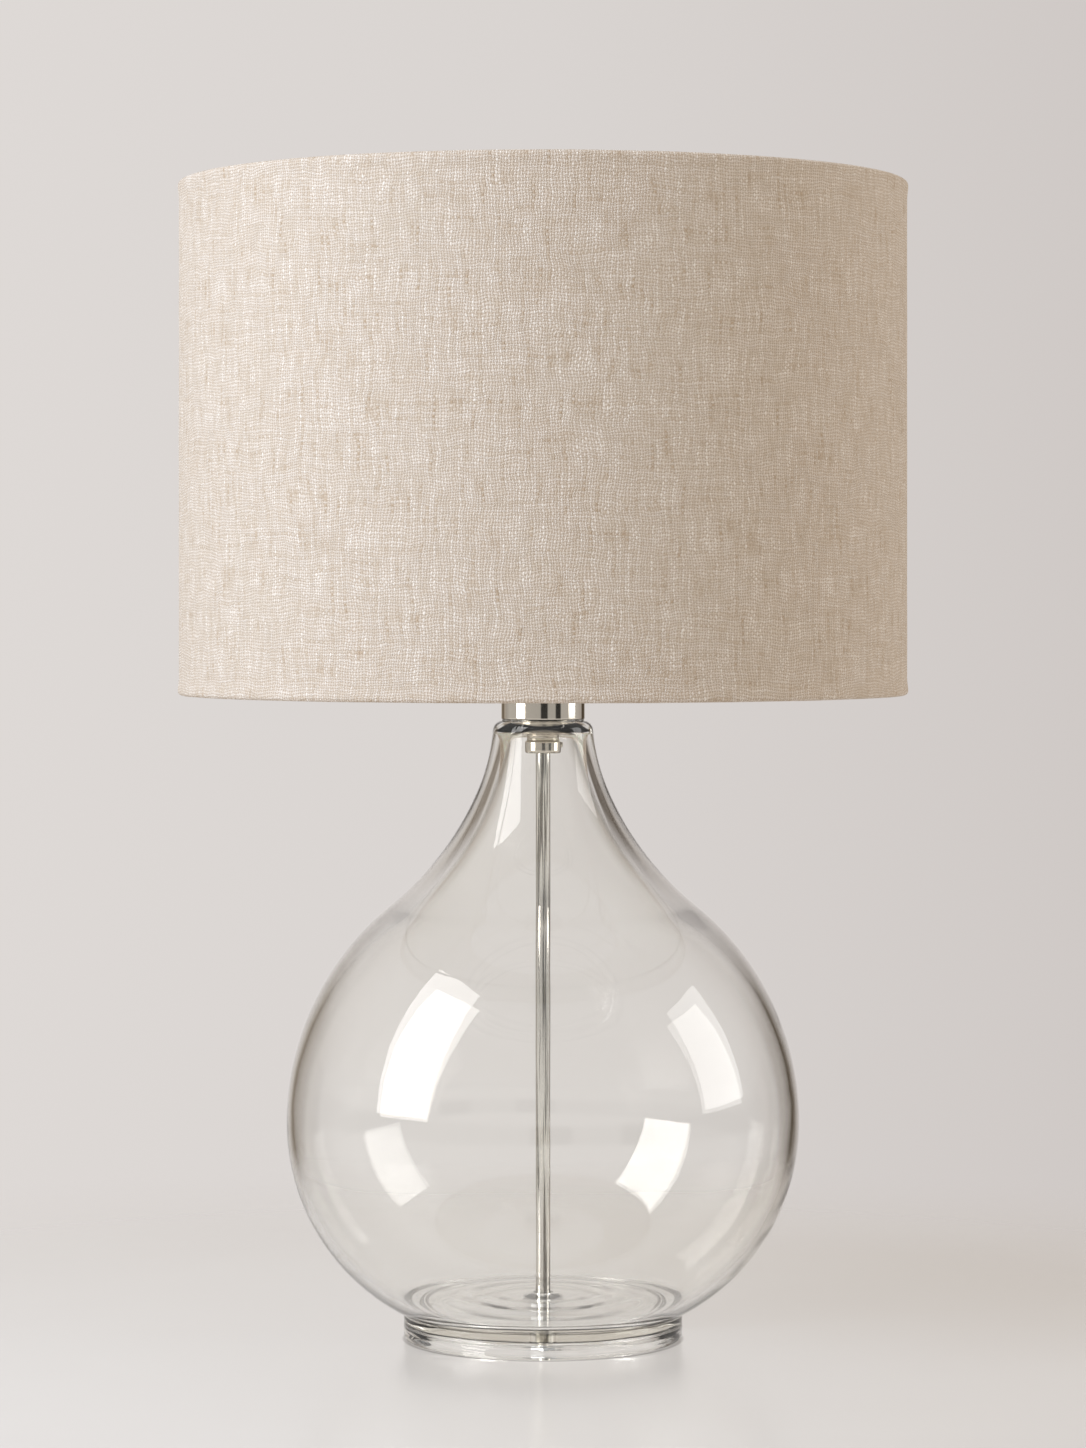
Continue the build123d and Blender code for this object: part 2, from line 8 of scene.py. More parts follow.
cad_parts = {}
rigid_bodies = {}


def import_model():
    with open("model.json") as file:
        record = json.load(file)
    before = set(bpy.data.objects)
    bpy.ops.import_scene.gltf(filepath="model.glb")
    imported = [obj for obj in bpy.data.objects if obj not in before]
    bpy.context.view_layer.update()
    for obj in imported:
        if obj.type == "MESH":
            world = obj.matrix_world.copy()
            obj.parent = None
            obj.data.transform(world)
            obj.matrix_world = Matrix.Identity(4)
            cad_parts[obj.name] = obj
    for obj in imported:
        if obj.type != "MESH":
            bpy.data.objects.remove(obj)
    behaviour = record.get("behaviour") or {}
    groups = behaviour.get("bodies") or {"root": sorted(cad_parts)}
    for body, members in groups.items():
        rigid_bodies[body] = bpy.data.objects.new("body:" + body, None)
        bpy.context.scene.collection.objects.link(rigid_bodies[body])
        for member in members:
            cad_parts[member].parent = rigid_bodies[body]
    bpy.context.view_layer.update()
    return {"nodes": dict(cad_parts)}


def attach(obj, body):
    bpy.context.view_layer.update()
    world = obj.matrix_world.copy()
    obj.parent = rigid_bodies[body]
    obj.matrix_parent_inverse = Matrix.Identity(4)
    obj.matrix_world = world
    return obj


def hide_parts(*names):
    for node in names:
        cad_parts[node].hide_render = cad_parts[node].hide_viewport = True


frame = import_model()


# Glass vessel: clear soda-lime glass, blown into a turned mould and fire polished, so that its inner wall
# wanders a little. Floor and foot ring are one with it, and the flex notch is ground into the ring.
MM = 0.001


def linear(code):
    """An sRGB hex colour as linear RGBA."""
    parts = [int(code[i:i + 2], 16) / 255 for i in (0, 2, 4)]
    return [c / 12.92 if c <= 0.04045 else ((c + 0.055) / 1.055) ** 2.4 for c in parts] + [1.0]


def add(tree, kind, sockets=None, **settings):
    """Adds one node; each socket, by name or number, gets a value, an output or a node's first output."""
    made = tree.nodes.new(kind)
    for key, value in settings.items():
        setattr(made, key, value)
    for key, value in (sockets or {}).items():
        if isinstance(value, bpy.types.Node):
            value = value.outputs[0]
        if isinstance(value, bpy.types.NodeSocket):
            tree.links.new(value, made.inputs[key])
        else:
            made.inputs[key].default_value = value
    return made


def begin(name, sockets):
    """A new material with its node tree and its Principled shader, whose sockets get plain values."""
    made = bpy.data.materials.new(name)
    made.use_nodes = True
    shader = made.node_tree.nodes["Principled BSDF"]
    for key, value in sockets.items():
        shader.inputs[key].default_value = value
    return made, made.node_tree, shader


def arc(start, heading, end, spacing=2.8):
    """Points in mm of the arc that leaves start along heading and runs to end, and its heading there."""
    across = (end[0] - start[0], end[1] - start[1])
    turn = 2 * atan2(heading[0] * across[1] - heading[1] * across[0],
                     heading[0] * across[0] + heading[1] * across[1])
    radius = hypot(*across) / (2 * sin(turn / 2))
    centre = (start[0] - heading[1] * radius, start[1] + heading[0] * radius)
    arm = (start[0] - centre[0], start[1] - centre[1])
    count = max(2, ceil(abs(radius * turn) / spacing))
    points = []
    for i in range(count + 1):
        c, s = cos(turn * i / count), sin(turn * i / count)
        points.append((centre[0] + arm[0] * c - arm[1] * s, centre[1] + arm[0] * s + arm[1] * c))
    c, s = cos(turn), sin(turn)
    return points, (heading[0] * c - heading[1] * s, heading[0] * s + heading[1] * c)


def trimmed(line, length):
    """A line of points without the first length of it."""
    line = [Vector(p) for p in line]
    while len(line) > 2 and (line[1] - line[0]).length <= length:
        length -= (line[1] - line[0]).length
        line.pop(0)
    line[0] = line[0] + (line[1] - line[0]).normalized() * length
    return line


def rounded(rows, spacing=0.7, inset=0.3):
    """One outline from rows of a line of points and the radius of the corner after it, in mm. Corner points
    stand spacing apart, and points at inset from the ends of a straight run keep its shading flat."""
    lines = [[Vector(p) for p in line] for line, _ in rows]
    corners = []
    for i, (_, radius) in enumerate(rows):
        if radius == 0:
            corners.append([])
            continue
        j = (i + 1) % len(lines)
        before = (lines[i][-1] - lines[i][-2]).normalized()
        after = (lines[j][1] - lines[j][0]).normalized()
        turn = before.angle_signed(after)
        cut = radius * tan(abs(turn) / 2)
        lines[i] = trimmed(lines[i][::-1], cut)[::-1]
        lines[j] = trimmed(lines[j], cut)
        before = (lines[i][-1] - lines[i][-2]).normalized()
        after = (lines[j][1] - lines[j][0]).normalized()
        handle = 4 / 3 * tan(abs(turn) / 4) * radius
        a, d = lines[i][-1], lines[j][0]
        b, c = a + before * handle, d - after * handle
        count = max(4, ceil(abs(turn) * radius / spacing))
        steps = [k / count for k in range(1, count)]
        corners.append([a * (1 - t) ** 3 + b * 3 * t * (1 - t) ** 2 + c * 3 * t * t * (1 - t) + d * t ** 3
                        for t in steps])
    sides = []
    for line, corner in zip(lines, corners):
        if len(line) == 2 and (line[1] - line[0]).length > 1:
            along = (line[1] - line[0]).normalized() * inset
            line = [line[0], line[0] + along, line[1] - along, line[1]]
        sides.append([tuple(p) for p in line + corner])
    return sides


def joined(lines):
    """The points of several lines in one list."""
    return [p for line in lines for p in line]


def limited(value):
    """A value kept between 0 and 1."""
    return min(1.0, max(0.0, value))


def shaded(mesh, sharp):
    """Shades a mesh smooth, with edges over sharp degrees kept."""
    mesh.shade_smooth()
    mesh.set_sharp_from_angle(angle=radians(sharp))
    return mesh


def smoothed(mesh, sharp):
    """Closes poles, turns every face outwards and shades the mesh smooth."""
    work = bmesh.new()
    work.from_mesh(mesh)
    bmesh.ops.remove_doubles(work, verts=work.verts, dist=1e-7)
    bmesh.ops.recalc_face_normals(work, faces=work.faces)
    work.to_mesh(mesh)
    work.free()
    return shaded(mesh, sharp)


def turned(name, loop, steps=96, relief=None, sharp=35):
    """A mesh turned round Z from a closed loop of (radius, height) in mm; relief changes a radius."""
    count = len(loop)
    verts, faces = [], []
    for i in range(steps):
        angle = 2 * pi * i / steps
        for j, (r, z) in enumerate(loop):
            if relief:
                r = relief(angle, j, r, z)
            verts.append((r * cos(angle) * MM, r * sin(angle) * MM, z * MM))
        for j in range(count):
            k, n = (j + 1) % count, (i + 1) % steps
            faces.append((i * count + j, n * count + j, n * count + k, i * count + k))
    mesh = bpy.data.meshes.new(name)
    mesh.from_pydata(verts, [], faces)
    return smoothed(mesh, sharp)


def lofted(name, outlines, sharp=35):
    """A closed mesh through outlines of (x, y, z) points in mm, all with the same number of points."""
    count = len(outlines[0])
    verts = [(x * MM, y * MM, z * MM) for x, y, z in joined(outlines)]
    faces = [tuple(range(count)), tuple(range(len(verts) - count, len(verts)))]
    for i in range(len(outlines) - 1):
        for j in range(count):
            k = (j + 1) % count
            faces.append((i * count + j, i * count + k, (i + 1) * count + k, (i + 1) * count + j))
    mesh = bpy.data.meshes.new(name)
    mesh.from_pydata(verts, [], faces)
    return smoothed(mesh, sharp)


def shown(made):
    """A new object for a mesh, curve, light or camera, linked to the scene."""
    placed = bpy.data.objects.new(made.name, made)
    bpy.context.scene.collection.objects.link(placed)
    return placed


def plain(made):
    """The object's mesh with its modifiers worked in; the object and its rough mesh go."""
    bpy.context.view_layer.update()
    ready = made.evaluated_get(bpy.context.evaluated_depsgraph_get())
    mesh = bpy.data.meshes.new_from_object(ready)
    name = made.name
    bpy.data.batch_remove([made, made.data])
    mesh.name = name
    return mesh


def fitted(mesh, finish, body, slot, *nodes):
    """Fits a mesh to the lamp, with its finish, its body and the nodes that it stands for; slot is not used.
    """
    piece = shown(mesh)
    mesh.materials.clear()
    mesh.materials.append(finish)
    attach(piece, body)
    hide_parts(*nodes)
    return piece


# Points of the outline, as radius and height
foot, crease = (76.5, 0.0), (76.5, 14.5)
belly, shoulder, throat, rim = (140.6, 119.0), (84.2, 237.0), (35.8, 300.8), (27.2, 339.0)
inner_belly, floor_corner = (136.6, 119.0), (76.65, 20.0)
lip_start, lip_end, mouth = (19.0, 330.5), (16.0, 334.5), (16.0, 339.0)
floor_crown, recess_crown = (5.1, 23.5), (5.1, 10.5)
recess_corner, recess_edge = (66.0, 8.2), (66.0, 0.0)      # the recess is domed like the floor above it
shoulder_wall, neck_wall = 8.0, 8.2
up, down, out = (0, 1), (0, -1), (1, 0)

heel, _ = arc(belly, down, crease)
flank, slope = arc(belly, up, shoulder)
waist, lean = arc(shoulder, slope, throat)
neck, _ = arc(throat, lean, rim)
inner_shoulder = (shoulder[0] - slope[1] * shoulder_wall, shoulder[1] + slope[0] * shoulder_wall)
inner_throat = (throat[0] - lean[1] * neck_wall, throat[1] + lean[0] * neck_wall)
inner_flank, slope = arc(inner_belly, up, inner_shoulder)
inner_waist, lean = arc(inner_shoulder, slope, inner_throat)
inner_neck, lean = arc(inner_throat, lean, lip_start)
lip, _ = arc(lip_start, lean, lip_end, spacing=0.6)
inner_heel, _ = arc(inner_belly, down, floor_corner)
inside = joined([inner_flank, inner_waist[1:], inner_neck[1:], lip[1:]])
recess, _ = arc(recess_crown, out, recess_corner)
dome, _ = arc(floor_crown, out, floor_corner, spacing=1.0)
ring_height, ring_spread = 0.08, 2.9
rings_start, rings_full, rings_fade, rings_end = 22.0, 34.0, 66.0, 72.0


def ringed(r, z):
    """A floor point with the rings of the gather, which fade towards the tube and the wall."""
    strength = min(limited((r - rings_start) / (rings_full - rings_start)),
                   limited((rings_end - r) / (rings_end - rings_fade)))
    return r, z + ring_height * sin(r / ring_spread) * strength


# Each line, the radius of the corner after it, and how far blowing and hand work let it wander, in mm
vessel_lines = (
    ([foot, crease], 1.0, 0.0, 0.22),
    (heel[::-1] + flank[1:] + waist[1:] + neck[1:], 5.5, 0.10, 0.0),
    ([rim, mouth], 1.5, 0.0, 0.0),
    ([mouth, lip_end], 0.8, 0.0, 0.0),
    (inside[::-1] + inner_heel[1:], 14.0, 0.32, 0.0),
    ([ringed(r, z) for r, z in dome[::-1]], 0.5, 0.0, 0.0),
    ([floor_crown, recess_crown], 0.5, 0.0, 0.0),
    (recess, 4.0, 0.0, 0.0),
    ([recess_corner, recess_edge], 2.0, 0.0, 0.8),
    ([recess_edge, foot], 3.5, 0.0, 0.0),
)
vessel_sides = rounded([row[:2] for row in vessel_lines])
side_of = [i for i, side in enumerate(vessel_sides) for _ in side]
hand_start, hand_rise, hand_patch, hand_band = 0.5, 2.0, 24.0, 3.2
wall_start, wall_end, wall_fade, wall_patch = 30.0, 325.0, 40.0, 62.0
wall_place = Vector((7.0, 3.0, 11.0))      # the spot of the pattern that the wall takes


def blown(angle, j, r, z):
    """A wall radius with the slow wander of blown glass, quicker up and down the foot than round it."""
    _, _, sway, hand_sway = vessel_lines[side_of[j]]
    x, y = r * cos(angle), r * sin(angle)
    if hand_sway:
        fade = limited((z - hand_start) / hand_rise)
        return r + hand_sway * fade * noise.noise(Vector((x / hand_patch, y / hand_patch, z / hand_band)))
    fade = limited((z - wall_start) / wall_fade) * limited((wall_end - z) / wall_fade)
    return r + sway * fade * noise.noise(Vector((x, y, z)) / wall_patch + wall_place)


vessel = shown(turned("glass_vessel", joined(vessel_sides), steps=224, relief=blown))
notch_half, notch_top, notch_steps = 4.0, 6.5, 16
notch_under, notch_near, notch_far = -2.0, 58.0, 84.0
arch = [(-notch_half, notch_under)]
for i in range(notch_steps + 1):
    angle = pi * i / notch_steps
    arch.append((-notch_half * cos(angle), notch_top - notch_half + notch_half * sin(angle)))
arch.append((notch_half, notch_under))
stone = shown(lofted("notch_stone", [[(x, y, z) for x, z in arch] for y in (notch_near, notch_far)]))
grind = vessel.modifiers.new("flex_notch", "BOOLEAN")
grind.operation = "DIFFERENCE"
grind.solver = "EXACT"
grind.object = stone
vessel_mesh = shaded(plain(vessel), sharp=35)
bpy.data.objects.remove(stone)

# Clear glass: bends what is behind it, with a straw cast only through a long way in it
clear_glass, tree, shader = begin("blown_clear_glass", {
    "Base Color": linear("FEFEFD"), "Roughness": 0.0, "IOR": 1.46, "Transmission Weight": 1.0,
})
cord_size, cord_relief = 45.0 * MM, 0.6 * MM
spot = add(tree, "ShaderNodeTexCoord").outputs["Object"]
laid_round = add(tree, "ShaderNodeMapping", {"Vector": spot, "Scale": (1.0, 1.0, 2.5)})
cords = add(tree, "ShaderNodeTexNoise", {"Vector": laid_round, "Scale": 1 / cord_size, "Detail": 1.0})
cord_bump = add(tree, "ShaderNodeBump", {"Height": cords, "Strength": 0.15, "Distance": cord_relief})
tree.links.new(cord_bump.outputs[0], shader.inputs["Normal"])
tint = add(tree, "ShaderNodeVolumeAbsorption", {"Color": linear("D8D2BE"), "Density": 5.0})
tree.links.new(tint.outputs[0], tree.nodes["Material Output"].inputs["Volume"])
vessel_piece = fitted(
    vessel_mesh, clear_glass, "lamp_base", "clear_glass", "glass_base", "glass_neck", "glass_foot"
)
# Lamps reach what is inside the glass, and it throws no shadow of its own
vessel_piece.visible_shadow = vessel_piece.visible_diffuse = False


# Floor fittings: a clear silicone grommet round the tube in the floor, a zinc plated washer and hexagon nut
# under it that pull the tube down, and a moulded nylon bush where the flex comes in, all in the recess.
def finish(name, colour, shade, roughness, grain, relief, stretch=(1.0, 1.0, 1.0), streak=None, **sockets):
    """A material that wanders softly from colour to shade, with a grain of that size raised by relief, in mm.
    A streak gives the colour the stretch of the grain, with edges that soft."""
    streak_grains, patch_grains = 1.6, 14.0
    streak_start, streak_end = 0.55, 0.60
    gloss_spread = 0.25
    made, tree, shader = begin(name, {key.replace("_", " "): value for key, value in sockets.items()})
    spot = add(tree, "ShaderNodeTexCoord").outputs["Object"]
    run = add(tree, "ShaderNodeMapping", {"Vector": spot, "Scale": stretch})
    if streak:
        scale = 1 / (streak_grains * grain * MM)
        lines = add(tree, "ShaderNodeTexNoise", {"Vector": run, "Scale": scale, "Detail": 2.0})
        patches = add(tree, "ShaderNodeMapRange", {
            "Value": lines, "From Min": streak_start - streak, "From Max": streak_end + streak,
        })
    else:
        scale = 1 / (patch_grains * grain * MM)
        patches = add(tree, "ShaderNodeTexNoise", {"Vector": spot, "Scale": scale, "Detail": 3.0})
    mixed = add(tree, "ShaderNodeMix", {0: patches, 6: linear(colour), 7: linear(shade)}, data_type="RGBA")
    tree.links.new(mixed.outputs[2], shader.inputs["Base Color"])
    grains = add(tree, "ShaderNodeTexNoise", {"Vector": run, "Scale": 1 / (grain * MM), "Detail": 2.0})
    gloss = add(tree, "ShaderNodeMapRange", {
        "Value": grains, "To Min": roughness * (1 - gloss_spread), "To Max": roughness * (1 + gloss_spread),
    })
    tree.links.new(gloss.outputs[0], shader.inputs["Roughness"])
    bump = add(tree, "ShaderNodeBump", {"Height": grains, "Strength": 1.0, "Distance": relief * MM})
    tree.links.new(bump.outputs[0], shader.inputs["Normal"])
    return made


def dressed(material, *nodes):
    """Gives carried-over nodes their finish."""
    for node in nodes:
        for place in frame["nodes"][node].material_slots:
            place.material = material


def upright(r, low, high, spacing):
    """Points up or down a face of radius r, in mm."""
    count = max(1, ceil(abs(high - low) / spacing))
    return [(r, low + (high - low) * i / count) for i in range(count + 1)]


def bevelled(*points, edge):
    """A closed outline of (radius, height) points in mm, each eased to edge or to its own third number."""
    rows = []
    for point, after in zip(points, points[1:] + points[:1]):
        rows.append(([point[:2], after[:2]], after[2] if len(after) > 2 else edge))
    return joined(rounded(rows))


def flat_ring(bore, radius, low, high, edge):
    """The outline of a flat ring with eased edges, in mm."""
    return bevelled((bore, low), (radius, low), (radius, high), (bore, high), edge=edge)


# Clear silicone: a little hazy beside the glass
silicone = finish(
    "clear_silicone", "FAFAF8", "F5F5F2", roughness=0.14, grain=1.2, relief=0.003,
    IOR=1.41, Transmission_Weight=1.0,
)
# Zinc plate: a cool bright grey with a fine cloudy spangle
zinc = finish("zinc_plated_steel", "D2D4D6", "B9BCC0", roughness=0.30, grain=0.7, relief=0.004, Metallic=1.0)
# Nylon: off-white, a little waxy
nylon = finish(
    "white_nylon", "E6E4DC", "DBD8CE", roughness=0.42, grain=0.9, relief=0.004,
    Subsurface_Weight=0.15, Subsurface_Scale=0.002,
)
dressed(silicone, "floor_grommet")
dressed(nylon, "cord_bush")

tube_hole = 4.05
washer = flat_ring(tube_hole, radius=10.0, low=7.8, high=9.0, edge=0.35)
fitted(turned("base_washer_stamped", washer), zinc, "lamp_base", "zinc_plated_steel", "base_washer")

hex_flats, hex_low, hex_high, hex_blank = 13.0, 3.8, 7.8, 7.6
cone_start, cone_slope = 0.35, 1.8


def hexagon(angle, j, r, z):
    """A radius held in by six flats, with the turned cone that takes the corners off one end."""
    if r <= tube_hole:
        return r
    flat = hex_flats / 2 / cos((angle + pi / 6) % (pi / 3) - pi / 6)
    return min(flat, hex_flats / 2 + cone_start + (z - hex_low) * cone_slope)


nut = [(tube_hole, hex_low)] + upright(hex_blank, hex_low, hex_high, 0.34) + [(tube_hole, hex_high)]
fitted(
    turned("base_nut_hexagon", nut, steps=144, relief=hexagon, sharp=25),
    zinc, "lamp_base", "zinc_plated_steel", "base_nut",
)


# Stem: a drawn brass tube, nickel plated and polished, threaded at its foot for the nut. It ties the foot of
# the glass to the neck and carries the flex. Its socket is turned from bar, with a grub screw on the right.
def threaded(faces, depth, pitch, low, high, run_out=None):
    """A relief that cuts a rounded thread into faces of those radii and runs out at both ends, in mm. A depth
    below 0 raises it."""
    run_out = run_out or pitch

    def cut(angle, j, r, z):
        if min(abs(r - face) for face in faces) > 1e-6 or not low < z < high:
            return r
        fade = min(1.0, (z - low) / run_out, (high - z) / run_out)
        return r - depth * fade * (0.5 - 0.5 * cos(2 * pi * z / pitch - angle))

    return cut


tube_radius, tube_bore, tube_low, tube_high = 4.0, 3.2, 2.5, 327.4
tube_edge, tube_pitch, tube_thread_top = 0.2, 1.0, 10.0
tube = upright(tube_radius, tube_low + tube_edge, tube_thread_top, tube_pitch / 8)
tube += upright(tube_radius, tube_thread_top + 0.5, tube_high - tube_edge, 12.0)
tube += [(tube_radius - tube_edge, tube_high), (tube_bore + tube_edge, tube_high)]
tube += [(tube_bore, tube_high - tube_edge), (tube_bore, tube_low + tube_edge)]
tube += [(tube_bore + tube_edge, tube_low), (tube_radius - tube_edge, tube_low)]
# Drawn nickel: a warm mirror, striped along its length by darker lines that wander a little, painted
# reflections of dark surroundings
nickel_painted_streaks = finish(
    "nickel_painted_streaks", "D6D2CB", "77726A", roughness=0.10, grain=0.9, relief=0.004,
    stretch=(1.0, 1.0, 0.02), streak=0.028, Metallic=1.0,
)
tube_thread = threaded([tube_radius], depth=0.35, pitch=tube_pitch, low=tube_low, high=tube_thread_top)
fitted(
    turned("stem_tube_drawn", tube, steps=72, relief=tube_thread),
    nickel_painted_streaks, "lamp_base", "polished_nickel", "stem_tube",
)

socket_low, socket_ledge, socket_high = 321.0, 328.2, 336.8
socket_radius, socket_neck, nipple_hole, nipple_stop = 9.9, 8.9, 5.05, 328.4
# Each line of the outline and the radius of the corner after it
socket_lines = (
    ([(tube_hole, socket_low), (socket_radius, socket_low)], 1.5),
    (upright(socket_radius, socket_low, socket_ledge, 0.6), 0.8),
    ([(socket_radius, socket_ledge), (socket_neck, socket_ledge)], 0.5),
    (upright(socket_neck, socket_ledge, socket_high, 0.2), 0.3),
    ([(socket_neck, socket_high), (nipple_hole, socket_high)], 0.2),
    ([(nipple_hole, socket_high), (nipple_hole, nipple_stop)], 0),
    ([(nipple_hole, nipple_stop), (tube_bore, nipple_stop)], 0),
    ([(tube_bore, nipple_stop), (tube_bore, tube_high)], 0),
    ([(tube_bore, tube_high), (tube_hole, tube_high)], 0),
    ([(tube_hole, tube_high), (tube_hole, socket_low)], 0.3),
)
# Polished nickel: a warm mirror with a slow waver in what it reflects
polished_nickel = finish(
    "polished_nickel", "D6CFC3", "CEC6B8", roughness=0.07, grain=0.9, relief=0.0009, Metallic=1.0
)
socket_thread = threaded([socket_neck], depth=0.22, pitch=1.0, low=329.0, high=332.4)
fitted(
    turned("stem_socket_turned", joined(rounded(socket_lines)), relief=socket_thread),
    polished_nickel, "lamp_base", "polished_nickel", "stem_socket",
)
# Satin nickel: the same plate over turned faces, with rings that blur what it reflects
satin_nickel = finish(
    "satin_nickel", "CFC7BA", "C2B9AB", roughness=0.24, grain=0.6, relief=0.004,
    stretch=(0.15, 0.15, 1.0), Metallic=1.0,
)
dressed(satin_nickel, "socket_set_screw")


# Neck: a turned plug centres the fittings in the mouth of the glass, and a silicone ring keeps metal off its
# rim. A spun cup, nickel plated and polished, stands on it round the lampholder. A nipple ties all together.
socket_hole, plug_radius, plug_low, plug_high = 8.95, 15.6, 332.8, 339.8
plug = bevelled(
    (socket_hole, plug_low), (plug_radius, plug_low), (plug_radius, plug_high),
    (nipple_hole, plug_high), (nipple_hole, socket_high), (socket_hole, socket_high), edge=0.4,
)
fitted(turned("neck_plug_turned", plug, steps=128), satin_nickel, "lamp_base", "satin_nickel", "neck_plug")
dressed(silicone, "neck_gasket")

cup_radius, cup_inner, cup_low, cup_floor, cup_high = 23.0, 21.8, 339.8, 341.3, 377.8
spun_edge, spun_corner = 0.6, 1.2
cup = bevelled(
    (nipple_hole, cup_low), (cup_radius, cup_low, spun_edge), (cup_radius, cup_high), (cup_inner, cup_high),
    (cup_inner, cup_floor, spun_corner), (nipple_hole, cup_floor), edge=0.35,
)
fitted(
    turned("holder_cup_spun", cup, steps=160), polished_nickel, "lamp_base", "polished_nickel", "holder_cup"
)
dressed(zinc, "hollow_nipple", "lock_nut")


# Lampholder: a moulded lower cap and skirt hold an unglazed ceramic insert, which carries a drawn brass screw
# shell and contacts. The skirt is threaded outside for the ring nut, and the shell inside for the bulb.
# Moulded plastic: white, satin, with a faint flow pattern
holder_plastic = finish(
    "white_holder_plastic", "E9E7E1", "E1DFD8", roughness=0.36, grain=0.8, relief=0.003,
    Subsurface_Weight=0.08, Subsurface_Scale=0.002,
)
# Unglazed ceramic: chalk white and rough
ceramic = finish("white_ceramic", "EAE7DF", "DDD9CF", roughness=0.78, grain=0.35, relief=0.012)
# Brass: bare drawn sheet, a little dulled
brass = finish("drawn_brass", "E2C27A", "CFAB62", roughness=0.26, grain=0.8, relief=0.004, Metallic=1.0)
dressed(holder_plastic, "holder_base")
dressed(ceramic, "holder_insert")
dressed(brass, "terminal_screws", "centre_contact")

skirt_bore, skirt_radius, skirt_low, skirt_high = 14.9, 19.75, 361.3, 400.3
holder_pitch, skirt_plain_top, skirt_thread_top = 2.5, 377.0, skirt_high - 0.6
skirt = [(skirt_bore + 0.4, skirt_low), (skirt_radius - 0.3, skirt_low)]
skirt += upright(skirt_radius, skirt_low + 0.3, skirt_plain_top, 4.0)
skirt += upright(skirt_radius, skirt_plain_top + 0.3, skirt_thread_top, holder_pitch / 10)
skirt += [(skirt_radius - 0.45, skirt_high - 0.12), (skirt_radius - 0.85, skirt_high)]
skirt += [(skirt_bore + 0.6, skirt_high), (skirt_bore + 0.2, skirt_high - 0.12)]
skirt += [(skirt_bore, skirt_high - 0.5), (skirt_bore, skirt_low + 0.4)]
skirt_thread = threaded(
    [skirt_radius], depth=0.55, pitch=holder_pitch, low=skirt_plain_top + 0.6, high=skirt_thread_top
)
fitted(
    turned("holder_skirt_threaded", skirt, steps=128, relief=skirt_thread),
    holder_plastic, "lamp_base", "white_holder_plastic", "holder_skirt",
)

shell_low, shell_high, shell_hole, shell_inner, shell_outer = 371.0, 396.0, 7.0, 13.6, 14.05
shell_floor, bulb_pitch = 0.8, 3.6
shell = [(shell_hole, shell_low), (shell_outer - 0.05, shell_low)]
shell += upright(shell_outer, shell_low + 0.05, shell_high, 0.4)
shell += upright(shell_inner, shell_high, shell_low + shell_floor, 0.4)
shell += [(shell_hole, shell_low + shell_floor)]
# Rolled sheet: both of its faces follow the thread
shell_thread = threaded(
    [shell_inner, shell_outer], depth=-0.42, pitch=bulb_pitch, low=shell_low + 1.5, high=shell_high - 1.0,
    run_out=2.0,
)
fitted(
    turned("screw_shell_rolled", shell, relief=shell_thread, sharp=50),
    brass, "lamp_base", "brass", "screw_shell",
)


# Shade frame: steel wire and a stamped carrier ring, spot welded and powder coated white. Three cranked
# spokes, one of them at the back, drop from under the carrier ring to the bottom wire.
# Powder coat: white with a soft orange peel
coat = finish("white_powder_coat", "E8E6E1", "E0DED8", roughness=0.40, grain=0.9, relief=0.012)
# A hair's breadth stays free under the nut
carrier = flat_ring(20.5, radius=30.0, low=377.8, high=379.25, edge=0.4)
fitted(
    turned("carrier_ring_stamped", carrier, steps=128), coat, "shade", "white_coated_steel", "carrier_ring"
)
dressed(coat, "shade_bottom_ring", "shade_top_ring")

tree = round_the_stem = bpy.data.node_groups.new("round_the_stem", "GeometryNodeTree")
inputs = {"Piece": "Geometry", "Count": "Int", "First angle": "Float", "Finish": "Material"}
for socket, kind in inputs.items():
    tree.interface.new_socket(socket, in_out="INPUT", socket_type="NodeSocket" + kind)
tree.interface.new_socket("Pieces", in_out="OUTPUT", socket_type="NodeSocketGeometry")
given = add(tree, "NodeGroupInput").outputs
share = add(tree, "ShaderNodeMath", {0: 2 * pi, 1: given["Count"]}, operation="DIVIDE")
number = add(tree, "GeometryNodeInputIndex")
turn = add(tree, "ShaderNodeMath", {0: number, 1: share, 2: given["First angle"]}, operation="MULTIPLY_ADD")
places = add(tree, "GeometryNodePoints", {"Count": given["Count"]})
facing = add(tree, "ShaderNodeCombineXYZ", {"Z": turn})
copies = add(
    tree, "GeometryNodeInstanceOnPoints", {"Points": places, "Instance": given["Piece"], "Rotation": facing}
)
real = add(tree, "GeometryNodeRealizeInstances", {"Geometry": copies})
set_finish = add(tree, "GeometryNodeSetMaterial", {"Geometry": real, "Material": given["Finish"]})
add(tree, "NodeGroupOutput", {0: set_finish})


def repeated(mesh, count, first_angle, material):
    """Copies of a mesh set round the stem by the node tree, as one plain mesh."""
    holder = shown(mesh)
    spread = holder.modifiers.new("round_the_stem", "NODES")
    spread.node_group = round_the_stem
    values = {"Count": count, "First angle": first_angle, "Finish": material}
    for item in round_the_stem.interface.items_tree:
        if item.in_out == "INPUT" and item.name in values:
            spread[item.identifier] = values[item.name]
    return plain(holder)


